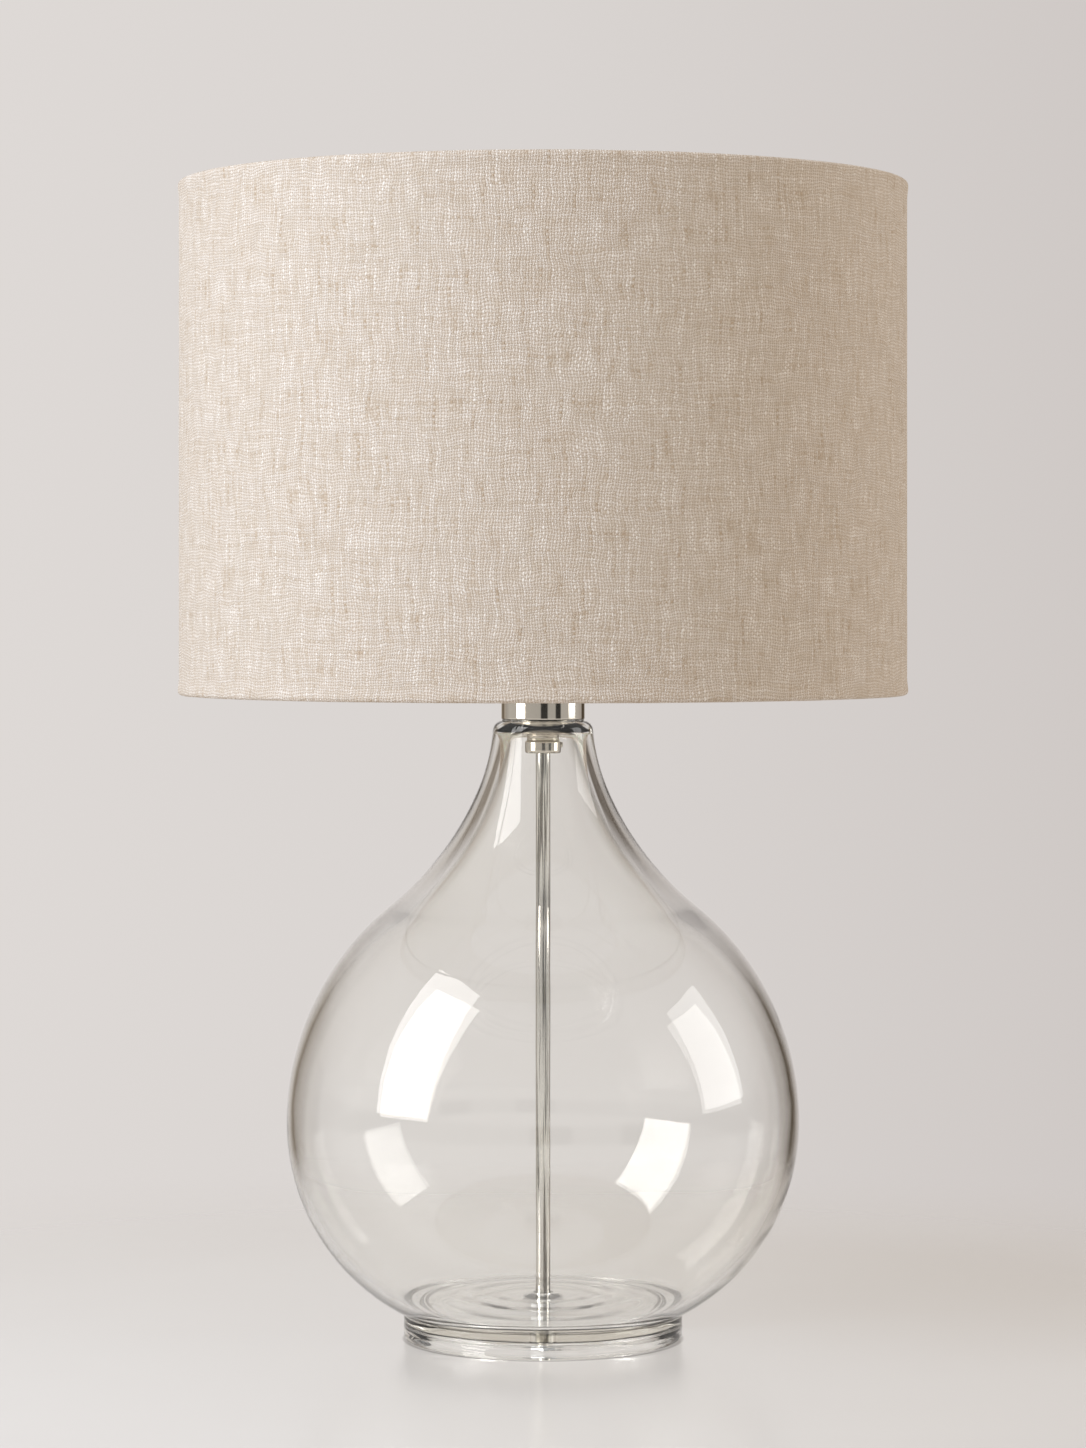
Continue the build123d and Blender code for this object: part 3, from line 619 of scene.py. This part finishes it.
spoke_count, first_spoke = 3, pi / 2
spoke_radius, spoke_bend = 1.75, 12.0
spoke_start, spoke_crank, spoke_end = (25.0, 376.05), (34.0, 376.05), (196.06, 355.86)
spoke_line = joined(rounded([([spoke_start, spoke_crank], spoke_bend), ([spoke_crank, spoke_end], 0)]))
route = bpy.data.curves.new("shade_spokes_bent", "CURVE")
route.dimensions = "3D"
route.bevel_depth = spoke_radius * MM
route.bevel_resolution = 5
route.use_fill_caps = True
run = route.splines.new("POLY")
run.points.add(len(spoke_line) - 1)
for point, (r, z) in zip(run.points, spoke_line):
    point.co = (r * MM, 0.0, z * MM, 1.0)
spoke = smoothed(plain(shown(route)), sharp=50)
fitted(
    repeated(spoke, spoke_count, first_spoke, coat), coat, "shade", "white_coated_steel", "shade_spokes"
)


# Liner: stiff white sheet, cut to size and rolled, that the linen is bonded to. It holds the drum round
# between the two wires and shows on the inside of the shade.
# Liner sheet: white, with a fine pebble that keeps it matt
liner_film, tree, shader = begin("white_liner_sheet", {
    "Roughness": 0.55, "Subsurface Weight": 0.1, "Subsurface Scale": 0.002,
})
cloud_size, pebble_size, pebble_relief = 50.0 * MM, 1.1 * MM, 0.06 * MM
spot = add(tree, "ShaderNodeTexCoord").outputs["Object"]
clouds = add(tree, "ShaderNodeTexNoise", {"Vector": spot, "Scale": 1 / cloud_size, "Detail": 3.0})
whites = add(tree, "ShaderNodeMix", {0: clouds, 6: linear("EDEAE2"), 7: linear("E5E1D7")}, data_type="RGBA")
tree.links.new(whites.outputs[2], shader.inputs["Base Color"])
pebble = add(tree, "ShaderNodeTexNoise", {"Vector": spot, "Scale": 1 / pebble_size, "Detail": 2.0})
pebbled = add(tree, "ShaderNodeBump", {"Height": pebble, "Strength": 0.6, "Distance": pebble_relief})
tree.links.new(pebbled.outputs[0], shader.inputs["Normal"])
liner_low, liner_high, liner_inner, liner_outer = 358.0, 628.8, 198.35, 198.75
liner_rows = 30.0
liner = upright(liner_outer, liner_low, liner_high, liner_rows)
liner += upright(liner_inner, liner_high, liner_low, liner_rows)
liner_piece = fitted(
    turned("shade_liner_rolled", liner, steps=240), liner_film, "shade", "white_liner_sheet", "shade_liner"
)


# Linen: one strip of slubby plain weave, lapped and glued at the back, bonded to the liner, and turned over
# each wire into a rolled hem whose raw leg is glued up inside.
cloth_thickness = 0.6
wall_radius, wire_circle, roll_radius = 199.1, 197.75, 1.95
bottom_wire, top_wire = 355.65, 631.15
leg_radius, leg_length = 198.0, 9.0
wall_run, leg_run = 7.0, 6.0      # where wall and leg bend to the wire
wall_steps, roll_steps, leg_steps = 7, 18, 8


def eased(t):
    """A share from 0 to 1 with a soft start and end."""
    return t * t * (3 - 2 * t)


def hem(wire, way):
    """From the wall round one wire to the end of the leg; way is 1 for the bottom hem, -1 for the top."""
    points = []
    for i in range(1, wall_steps + 1):
        t = i / wall_steps
        across = (wire_circle + roll_radius - wall_radius) * eased(t)
        points.append((wall_radius + across, wire + way * wall_run * (1 - t)))
    for i in range(1, roll_steps + 1):
        a = pi * i / roll_steps
        points.append((wire_circle + roll_radius * cos(a), wire - way * roll_radius * sin(a)))
    for i in range(1, leg_steps + 1):
        t = i / leg_steps
        across = (leg_radius - wire_circle + roll_radius) * eased(t)
        points.append((wire_circle - roll_radius + across, wire + way * leg_run * t))
    points += [(leg_radius, wire + way * (leg_run + (leg_length - leg_run) * i / 2)) for i in (1, 2)]
    return points


wall = upright(wall_radius, top_wire - wall_run, bottom_wire + wall_run, 10.2)
bottom_hem = hem(bottom_wire, 1)
cut_line = hem(top_wire, -1)[::-1] + wall + bottom_hem
along = [0.0]
for a, b in zip(cut_line, cut_line[1:]):
    along.append(along[-1] + hypot(b[0] - a[0], b[1] - a[1]))
outward = []
for j in range(len(cut_line)):
    a, b = cut_line[max(0, j - 1)], cut_line[min(len(cut_line) - 1, j + 1)]
    outward.append(Vector((a[1] - b[1], b[0] - a[0])).normalized())

seam, turn_steps = pi / 2, 362
lap = radians(2.9)      # 10 mm of overlap
lap_rise, lap_climb = radians(5), 0.64      # where the lap climbs on to the other end, and how far
puff_height, puff_turns, puff_length = 0.10, 9, 22
spoke_angles = [first_spoke + 2 * pi * k / spoke_count for k in range(spoke_count)]
slit = radians(0.72)
# A slit runs from the hem's lowest row to a little way up the leg
slit_start = len(cut_line) - len(bottom_hem) + wall_steps + roll_steps // 2 - 1
slit_end = len(cut_line) - len(bottom_hem) + wall_steps + roll_steps + 3
turns = [seam - lap / 2 + (2 * pi + lap) * i / turn_steps for i in range(turn_steps + 1)]
for angle in spoke_angles:
    for edge in (angle - slit, angle + slit):
        for place in (edge, edge + 2 * pi):
            if turns[0] < place < turns[-1]:
                near = min(range(len(turns)), key=lambda i: abs(turns[i] - place))
                turns[near] = place
verts, faces, uvs = [], [], []
for angle in turns:
    climb = lap_climb * eased(limited((angle - (turns[-1] - lap - lap_rise)) / lap_rise))
    for j, (r, z) in enumerate(cut_line):
        puff_spot = Vector((cos(angle) * puff_turns, sin(angle) * puff_turns, z / puff_length))
        lift = climb + puff_height * noise.noise(puff_spot)
        r, z = r + outward[j].x * lift, z + outward[j].y * lift
        verts.append((r * cos(angle) * MM, r * sin(angle) * MM, z * MM))
        uvs.append((angle * wall_radius * MM, along[j] * MM))
count = len(cut_line)
for i in range(len(turns) - 1):
    middle = (turns[i] + turns[i + 1]) / 2
    at_spoke = any(abs((middle - angle + pi) % (2 * pi) - pi) < slit for angle in spoke_angles)
    for j in range(count - 1):
        if not (at_spoke and slit_start <= j < slit_end):
            faces.append((i * count + j, (i + 1) * count + j, (i + 1) * count + j + 1, i * count + j + 1))
strip = bpy.data.meshes.new("shade_linen_strip")
strip.from_pydata(verts, [], faces)
cloth_map = strip.uv_layers.new(name="cloth")
for corner in strip.loops:
    cloth_map.data[corner.index].uv = uvs[corner.vertex_index]
strip = shown(strip)
body = strip.modifiers.new("cloth_thickness", "SOLIDIFY")
body.thickness = cloth_thickness * MM
body.offset = 0.0
linen_mesh = shaded(plain(strip), sharp=60)

# Oatmeal linen: undyed flax in two shades, painted shade in the gaps, and thick places along the threads.
# Threads of such cloth are about 1 mm apart; they are drawn 1.54 mm apart, as the picture shows them
linen, tree, shader = begin("oatmeal_linen", {
    "Roughness": 0.92, "Specular IOR Level": 0.25, "Sheen Weight": 0.2, "Sheen Roughness": 0.6,
    "Sheen Tint": linear("F2E8DC"),
})
thread_spacing, thread_relief = 1.54 * MM, 0.4 * MM
drift_size, drift_reach = 40.0 * MM, 11.0 * MM
warp_slub_length, weft_slub_length = 22.0 * MM, 26.0 * MM
cloth = add(tree, "ShaderNodeUVMap", uv_map="cloth")
drift = add(tree, "ShaderNodeTexNoise", {
    "Vector": cloth, "Scale": 1 / drift_size, "Detail": 6.0, "Roughness": 0.62,
})
centred = add(
    tree, "ShaderNodeVectorMath", {0: drift.outputs["Color"], 1: (-0.5, -0.5, -0.5)}, operation="ADD"
)
moved = add(
    tree, "ShaderNodeVectorMath", {0: centred, 1: (drift_reach, drift_reach, 0.0), 2: cloth},
    operation="MULTIPLY_ADD",
)
counted = add(tree, "ShaderNodeVectorMath", {0: moved, "Scale": 1 / thread_spacing}, operation="SCALE")
counts = add(tree, "ShaderNodeSeparateXYZ", {0: counted}).outputs
metres = add(tree, "ShaderNodeSeparateXYZ", {0: cloth}).outputs

# For warp and weft: a wave across the threads, and a lane of the slub pattern for each thread
lane_width = 0.61
waves, lanes = {}, {}
for axis in "XY":
    half_turns = add(tree, "ShaderNodeMath", {0: counts[axis], 1: pi}, operation="MULTIPLY")
    waves[axis] = add(tree, "ShaderNodeMath", {0: half_turns}, operation="SINE")
    thread = add(tree, "ShaderNodeMath", {0: counts[axis]}, operation="FLOOR")
    lanes[axis] = add(tree, "ShaderNodeMath", {0: thread, 1: lane_width}, operation="MULTIPLY")
crossed = add(tree, "ShaderNodeMath", {0: waves["X"], 1: waves["Y"]}, operation="MULTIPLY")
over = add(tree, "ShaderNodeMath", {0: crossed, 1: 0.5, 2: 0.5}, operation="MULTIPLY_ADD")
under = add(tree, "ShaderNodeMath", {0: 1.0, 1: over}, operation="SUBTRACT")
crowns = []
for wave, on_top in ((waves["X"], over), (waves["Y"], under)):
    crown = add(tree, "ShaderNodeMath", {0: wave, 1: wave}, operation="MULTIPLY")
    crowns.append(add(tree, "ShaderNodeMath", {0: crown, 1: on_top}, operation="MULTIPLY"))
weave = add(tree, "ShaderNodeMath", {0: crowns[0], 1: crowns[1]}, operation="MAXIMUM")
warp_run = add(tree, "ShaderNodeMath", {0: metres["Y"], 1: 1 / warp_slub_length}, operation="MULTIPLY")
weft_run = add(tree, "ShaderNodeMath", {0: metres["X"], 1: 1 / weft_slub_length}, operation="MULTIPLY")
warp_spot = add(tree, "ShaderNodeCombineXYZ", {"X": lanes["X"], "Y": warp_run})
weft_spot = add(tree, "ShaderNodeCombineXYZ", {"X": weft_run, "Y": lanes["Y"], "Z": 9.0})
warp_slub = add(tree, "ShaderNodeTexNoise", {"Vector": warp_spot, "Scale": 1.0, "Detail": 2.0})
weft_slub = add(tree, "ShaderNodeTexNoise", {"Vector": weft_spot, "Scale": 1.0, "Detail": 2.0})
# The weft's yarn is more even than the warp's, and a little darker
warp_yarn = add(tree, "ShaderNodeMath", {0: warp_slub, 1: 1.5, 2: -0.22}, operation="MULTIPLY_ADD")
weft_yarn = add(tree, "ShaderNodeMath", {0: weft_slub, 1: 0.85, 2: 0.045}, operation="MULTIPLY_ADD")
slub = add(tree, "ShaderNodeMix", {0: over, 2: weft_yarn, 3: warp_yarn}, data_type="FLOAT")
flax = add(tree, "ShaderNodeValToRGB", {0: slub})
tones = flax.color_ramp.elements
tones[0].position, tones[0].color = 0.26, linear("B9A48D")
tones[1].position, tones[1].color = 0.74, linear("F0E8DF")
for place, colour in ((0.40, "D3C6B7"), (0.56, "DDD2C7")):
    tones.new(place).color = linear(colour)
crossing = add(tree, "ShaderNodeVectorMath", {0: counted}, operation="FLOOR")
lot = add(tree, "ShaderNodeTexWhiteNoise", {"Vector": crossing}, noise_dimensions="2D")
fullness = add(tree, "ShaderNodeMapRange", {"Value": lot, "To Min": 0.75, "To Max": 1.2})
raised = add(tree, "ShaderNodeMath", {0: weave, 1: fullness}, operation="MULTIPLY")
# Painted shade: the gaps between threads darken towards a dark flax brown
gap_shade_mask = add(tree, "ShaderNodeMapRange", {"Value": raised, "From Max": 0.55})
depth = add(tree, "ShaderNodeMix", {0: gap_shade_mask, 6: linear("B3A08D"), 7: flax}, data_type="RGBA")
tree.links.new(depth.outputs[2], shader.inputs["Base Color"])
height = add(tree, "ShaderNodeMath", {0: slub, 1: 0.8, 2: raised}, operation="MULTIPLY_ADD")
woven = add(tree, "ShaderNodeBump", {"Height": height, "Strength": 0.85, "Distance": thread_relief})
tree.links.new(woven.outputs[0], shader.inputs["Normal"])
linen_piece = fitted(linen_mesh, linen, "shade", "oatmeal_linen", "shade_linen")
# Mirrors see past the shade, so that the neck of the glass shows the left soft box, as in the picture
linen_piece.visible_glossy = liner_piece.visible_glossy = False


# Ring nut: moulded in the lampholder's plastic, screwed down the skirt on to the carrier ring. Twenty-four
# grip ribs stand round it, above a flange.
nut_base, nut_top, nut_bore, nut_radius, flange_radius = 379.3, 388.3, 20.05, 25.25, 27.85
nut_loop = [(nut_bore, nut_base + 0.3), (nut_bore + 0.3, nut_base), (flange_radius - 0.35, nut_base)]
nut_loop += [(flange_radius, nut_base + 0.4), (flange_radius, nut_base + 1.7)]
nut_loop += [(flange_radius - 0.45, nut_base + 2.2), (nut_radius + 0.35, nut_base + 2.25)]
nut_loop += [(nut_radius, nut_base + 2.6), (nut_radius, nut_top - 0.6)]
nut_loop += [(nut_radius - 0.65, nut_top), (nut_bore + 0.7, nut_top)]
nut_loop += upright(nut_bore, nut_top - 0.6, nut_base + 0.35, holder_pitch / 10)
nut_thread = threaded([nut_bore], depth=-0.5, pitch=holder_pitch, low=nut_base + 0.3, high=nut_top - 0.5)
nut_body = turned("ring_nut_body", nut_loop, steps=128, relief=nut_thread)

rib_count, rib_steps = 24, 8
rib_root, rib_depth, rib_half = nut_radius - 0.3, 1.3, 1.1
# Heights up the rib, each with its share of the full size
rib_levels = ((nut_base + 2.0, 1.0), (nut_top - 1.1, 1.0), (nut_top - 0.6, 0.9), (nut_top - 0.25, 0.6))
rib_angles = [pi * k / rib_steps - pi / 2 for k in range(rib_steps + 1)]
rib = lofted(
    "ring_nut_rib",
    [[(rib_root + rib_depth * size * cos(a), rib_half * size * sin(a), level) for a in rib_angles]
     for level, size in rib_levels],
    sharp=50,
)
whole = bmesh.new()
whole.from_mesh(nut_body)
whole.from_mesh(repeated(rib, rib_count, 0.0, holder_plastic))
ring_nut = bpy.data.meshes.new("shade_ring_nut_moulded")
whole.to_mesh(ring_nut)
whole.free()
fitted(shaded(ring_nut, sharp=40), holder_plastic, "ring_nut", "white_holder_plastic", "shade_ring_nut")


# Bulb: a screw-in lamp with a rolled, nickel plated cap, a black glass insulator with a soldered tip, a
# moulded housing that flares up from the cap, and an opal globe pushed into it.
# Plated cap: thin, bright and a little orange-peeled from rolling
plated = finish(
    "nickel_plated_brass", "D2CDC4", "C4BEB3", roughness=0.16, grain=1.1, relief=0.006, Metallic=1.0
)
# Fused black glass: dark and glossy
black_glass = finish("black_bulb_glass", "0C0C0E", "16161A", roughness=0.12, grain=1.5, relief=0.002)
# Moulded housing: white and satin
bulb_plastic = finish("white_bulb_plastic", "ECEBE8", "E4E3DF", roughness=0.38, grain=0.9, relief=0.003)
# Opal: a milky skin that light would soak through
opal = finish(
    "opal_bulb_plastic", "F2F0EB", "ECE9E3", roughness=0.30, grain=1.4, relief=0.002,
    Subsurface_Weight=0.35, Subsurface_Scale=0.006,
)
dressed(brass, "bulb_contact")
dressed(black_glass, "bulb_insulator")

cap_low, cap_high, cap_radius = 378.3, 401.3, 13.2
cap = [(cap_radius - 1.6, cap_low), (cap_radius - 0.9, cap_low + 0.25)]
cap += upright(cap_radius, cap_low + 0.9, cap_high - 0.3, 0.4)
cap += [(cap_radius - 0.5, cap_high), (cap_radius - 0.9, cap_high - 0.4)]
cap += upright(cap_radius - 1.1, cap_high - 1.0, cap_low + 1.2, 4.0) + [(cap_radius - 1.8, cap_low + 0.7)]
cap_thread = threaded([cap_radius], depth=0.75, pitch=bulb_pitch, low=cap_low + 0.9, high=cap_high - 1.5)
fitted(
    turned("bulb_screw_cap_rolled", cap, relief=cap_thread, sharp=50),
    plated, "bulb", "nickel_plated_brass", "bulb_screw_cap",
)

housing_foot, housing_rim, housing_high = 13.6, 26.5, 432.3
flare, _ = arc((housing_foot, cap_high + 1.0), up, (housing_rim, housing_high - 0.7), spacing=0.9)
housing = [(0.0, cap_high), (cap_radius, cap_high), (housing_foot - 0.1, cap_high + 0.3)] + flare
housing += [(housing_rim - 0.1, housing_high - 0.2), (housing_rim - 0.6, housing_high), (0.0, housing_high)]
fitted(turned("bulb_housing_moulded", housing), bulb_plastic, "bulb", "white_bulb_plastic", "bulb_housing")

globe_radius, globe_inner, globe_middle, globe_mouth = 30.0, 28.8, 446.36, 25.2
globe_steps = 48
start = atan2(housing_high - globe_middle, housing_rim)
bowl = [start + (pi / 2 - start) * i / globe_steps for i in range(globe_steps + 1)]
globe = [(globe_radius * cos(a), globe_middle + globe_radius * sin(a)) for a in bowl]
hollow = [(globe_inner * cos(a), globe_middle + globe_inner * sin(a)) for a in bowl[::-1]]
globe += [(r, z) for r, z in hollow if z > housing_high + 0.1] + [(globe_mouth, housing_high)]
globe = [(r if r > 1e-9 else 0.0, z) for r, z in globe]      # closed at the pole
fitted(turned("bulb_globe_opal", globe, sharp=50), opal, "bulb", "opal_bulb_plastic", "bulb_globe")


# Studio: a pale satin table that runs out into a pale backdrop, two large soft boxes at the sides, and dark
# cards that draw the edges of glass and metal. Only mirrors and glass see the cards.
def flat_sheet(name, width, depth):
    """A flat rectangle about the origin, in metres."""
    made = bpy.data.meshes.new(name)
    corners = ((-1, -1), (1, -1), (1, 1), (-1, 1))
    made.from_pydata([(x * width / 2, y * depth / 2, 0.0) for x, y in corners], [], [(0, 1, 2, 3)])
    return made


table_size, table_fade, table_gone = 6.0, 0.30, 0.75
contact_ring, contact_reach, contact_core, contact_strength = 75.5 * MM, 2.5 * MM, 0.5 * MM, 0.5
table = flat_sheet("table_top", table_size, table_size)
# Satin laminate: pale, with a soft sheen and a haze that hardly shows
satin_top, tree, shader = begin("pale_satin_laminate", {"Specular IOR Level": 0.16, "Roughness": 0.22})
spot = add(tree, "ShaderNodeTexCoord").outputs["Object"]
haze = add(tree, "ShaderNodeTexNoise", {"Vector": spot, "Scale": 6.0, "Detail": 2.0})
top_colour = add(tree, "ShaderNodeMix", {0: haze, 6: linear("E1DEDB"), 7: linear("DEDAD7")}, data_type="RGBA")
away = add(tree, "ShaderNodeVectorMath", {0: spot}, operation="LENGTH").outputs["Value"]
# Painted shadow: the foot's contact shadow, painted on the top as a soft dark ring
past_ring = add(tree, "ShaderNodeMath", {0: away, 1: contact_ring}, operation="SUBTRACT")
off_ring = add(tree, "ShaderNodeMath", {0: past_ring}, operation="ABSOLUTE")
ring_shadow = add(tree, "ShaderNodeMapRange", {
    "Value": off_ring, "From Min": contact_reach, "From Max": contact_core, "To Max": contact_strength,
}, interpolation_type="SMOOTHSTEP")
top_shaded = add(
    tree, "ShaderNodeMix", {0: ring_shadow, 6: top_colour.outputs[2], 7: linear("6B645C")}, data_type="RGBA"
)
tree.links.new(top_shaded.outputs[2], shader.inputs["Base Color"])
fading = add(tree, "ShaderNodeMapRange", {
    "Value": away, "From Min": table_fade, "From Max": table_gone,
}, interpolation_type="SMOOTHSTEP")
# From below the top is open, so that the foot can be seen
from_below = add(tree, "ShaderNodeNewGeometry").outputs["Backfacing"]
gone = add(tree, "ShaderNodeMath", {0: fading, 1: from_below}, operation="MAXIMUM")
clear = add(tree, "ShaderNodeBsdfTransparent")
run_out = add(tree, "ShaderNodeMixShader", {0: gone, 1: shader, 2: clear})
tree.links.new(run_out.outputs[0], tree.nodes["Material Output"].inputs["Surface"])
table.materials.append(satin_top)
shown(table)

studio = bpy.data.worlds.new("studio")
bpy.context.scene.world = studio
studio.use_nodes = True
tree = studio.node_tree
tree.nodes.clear()
gaze = add(tree, "ShaderNodeTexCoord").outputs["Generated"]
axes = add(tree, "ShaderNodeSeparateXYZ", {0: gaze}).outputs
# Painted light: the backdrop is lighter on the left and darker on the right, as if lit more strongly from the
# left
from_left = add(tree, "ShaderNodeMapRange", {"Value": axes["X"], "From Min": -0.125, "From Max": 0.125})
sweep = add(tree, "ShaderNodeValToRGB", {0: from_left})
tones = sweep.color_ramp.elements
tones[0].color = linear("DED9D6")
tones[1].color = linear("CFC9C6")
tones.new(0.5).color = linear("D9D4D1")
# Round the lamp from the camera's side, in degrees to the right: the colours of the cards that stand there
cards = (
    (-170, "FFFFFF"), (-159, "DCD8D2"), (-154, "948A7C"), (-137, "948A7C"), (-132, "E0DCD6"),
    (-120, "D4D4D4"), (-60, "CECECE"), (-7, "C3C3C3"), (-5, "383838"), (12, "383838"), (14, "C3C3C3"),
    (34, "C3C3C3"), (36, "383838"), (49, "383838"), (51, "CBCBCB"), (100, "CBCBCB"), (126, "F0F0F0"),
    (131, "F0F0F0"), (135, "6E6456"), (155, "6E6456"), (160, "D0CCC6"), (170, "FFFFFF"),
)
behind = add(tree, "ShaderNodeMath", {0: axes["Y"], 1: -1.0}, operation="MULTIPLY")
bearing = add(tree, "ShaderNodeMath", {0: axes["X"], 1: behind}, operation="ARCTAN2")
round_about = add(tree, "ShaderNodeMapRange", {"Value": bearing, "From Min": -pi, "From Max": pi})
standing = add(tree, "ShaderNodeValToRGB", {0: round_about})
tones = standing.color_ramp.elements
tones[0].color = tones[1].color = linear("FFFFFF")
for degrees, colour in cards:
    tones.new((degrees + 180) / 360).color = linear(colour)
# Cards at the sides and in front are low strips, which only upright metal mirrors; those behind stand higher
in_front = add(tree, "ShaderNodeMapRange", {"Value": axes["Y"], "From Min": 0.55, "From Max": 0.25})
off_level = add(tree, "ShaderNodeMath", {0: axes["Z"]}, operation="ABSOLUTE")
off_strips = add(tree, "ShaderNodeMapRange", {"Value": off_level, "From Min": 0.05, "From Max": 0.09})
past_strips = add(tree, "ShaderNodeMath", {0: off_strips, 1: in_front}, operation="MULTIPLY")
above = add(tree, "ShaderNodeMapRange", {"Value": axes["Z"], "From Min": 0.16, "From Max": 0.40})
open_room = add(tree, "ShaderNodeMath", {0: past_strips, 1: above}, operation="MAXIMUM")
card_light = add(tree, "ShaderNodeMix", {0: open_room, 6: standing, 7: linear("F6F6F6")}, data_type="RGBA")
room = add(tree, "ShaderNodeMix", {0: in_front, 6: sweep, 7: linear("FFFDFB")}, data_type="RGBA")
seen_in_glass = add(
    tree, "ShaderNodeMix", {0: 1.0, 6: room.outputs[2], 7: card_light.outputs[2]},
    data_type="RGBA", blend_type="MULTIPLY",
)
path = add(tree, "ShaderNodeLightPath").outputs
light = add(tree, "ShaderNodeBackground", {"Color": linear("E2DAD0"), "Strength": 0.83})
mirrored = add(tree, "ShaderNodeBackground", {"Color": seen_in_glass.outputs[2], "Strength": 1.0})
backdrop = add(tree, "ShaderNodeBackground", {"Color": sweep, "Strength": 1.0})
seen_by = {"Is Glossy Ray": mirrored, "Is Transmission Ray": mirrored, "Is Camera Ray": backdrop}
for ray, view in seen_by.items():
    light = add(tree, "ShaderNodeMixShader", {0: path[ray], 1: light, 2: view})
add(tree, "ShaderNodeOutputWorld", {"Surface": light})


def soft_box(name, bearing, lean, low, high, width, brightness, glow, colour):
    """A soft box that spans those elevations at a bearing in degrees right of the camera, where mirrors and
    glass see its bright front; its light comes from a bearing larger by lean."""
    distance, aim = 1.9, Vector((0.0, 0.0, 0.30))
    across, tall = (2 * distance * tan(radians(angle / 2)) for angle in (width, high - low))
    light = bpy.data.lights.new(name, "AREA")
    light.shape = "RECTANGLE"
    light.size, light.size_y = across, tall
    light.energy = brightness * pi * light.size * light.size_y
    light.color = linear(colour)[:3]
    lamp = shown(light)
    lamp.visible_camera = lamp.visible_glossy = lamp.visible_transmission = False
    cloth = bpy.data.materials.new(name + "_cloth")
    cloth.use_nodes = True
    cloth.node_tree.nodes.clear()
    shine = add(cloth.node_tree, "ShaderNodeEmission", {"Color": linear("FFFEFC"), "Strength": glow})
    add(cloth.node_tree, "ShaderNodeOutputMaterial", {"Surface": shine})
    front = shown(flat_sheet(name + "_front", across, tall))
    front.data.materials.append(cloth)
    for holder, angle in ((front, bearing), (lamp, bearing + lean)):
        tilt, turn = radians((low + high) / 2), radians(angle)
        reach = Vector((sin(turn) * cos(tilt), -cos(turn) * cos(tilt), sin(tilt)))
        holder.location = aim + reach * distance
        holder.rotation_euler = reach.to_track_quat("Z", "Y").to_euler()
    front.visible_camera = front.visible_diffuse = front.visible_shadow = False


soft_box("soft_box_left", bearing=-64.0, lean=10.0, low=-0.8, high=52.0, width=29.0,
         brightness=6.3, glow=7.5, colour="E2EFFF")
soft_box("soft_box_right", bearing=87.0, lean=0.0, low=-0.3, high=35.0, width=25.0,
         brightness=2.0, glow=4.4, colour="FFF6EA")

camera = bpy.data.cameras.new("camera")
camera.sensor_width = 36.0
camera.lens = 111.6
camera.shift_y = -0.0925
eye = shown(camera)
eye.location = (0.0, -2.466, 0.4107)
eye.rotation_euler = (pi / 2, 0.0, 0.0)
bpy.context.scene.camera = eye
bpy.context.scene.view_settings.view_transform = "Standard"
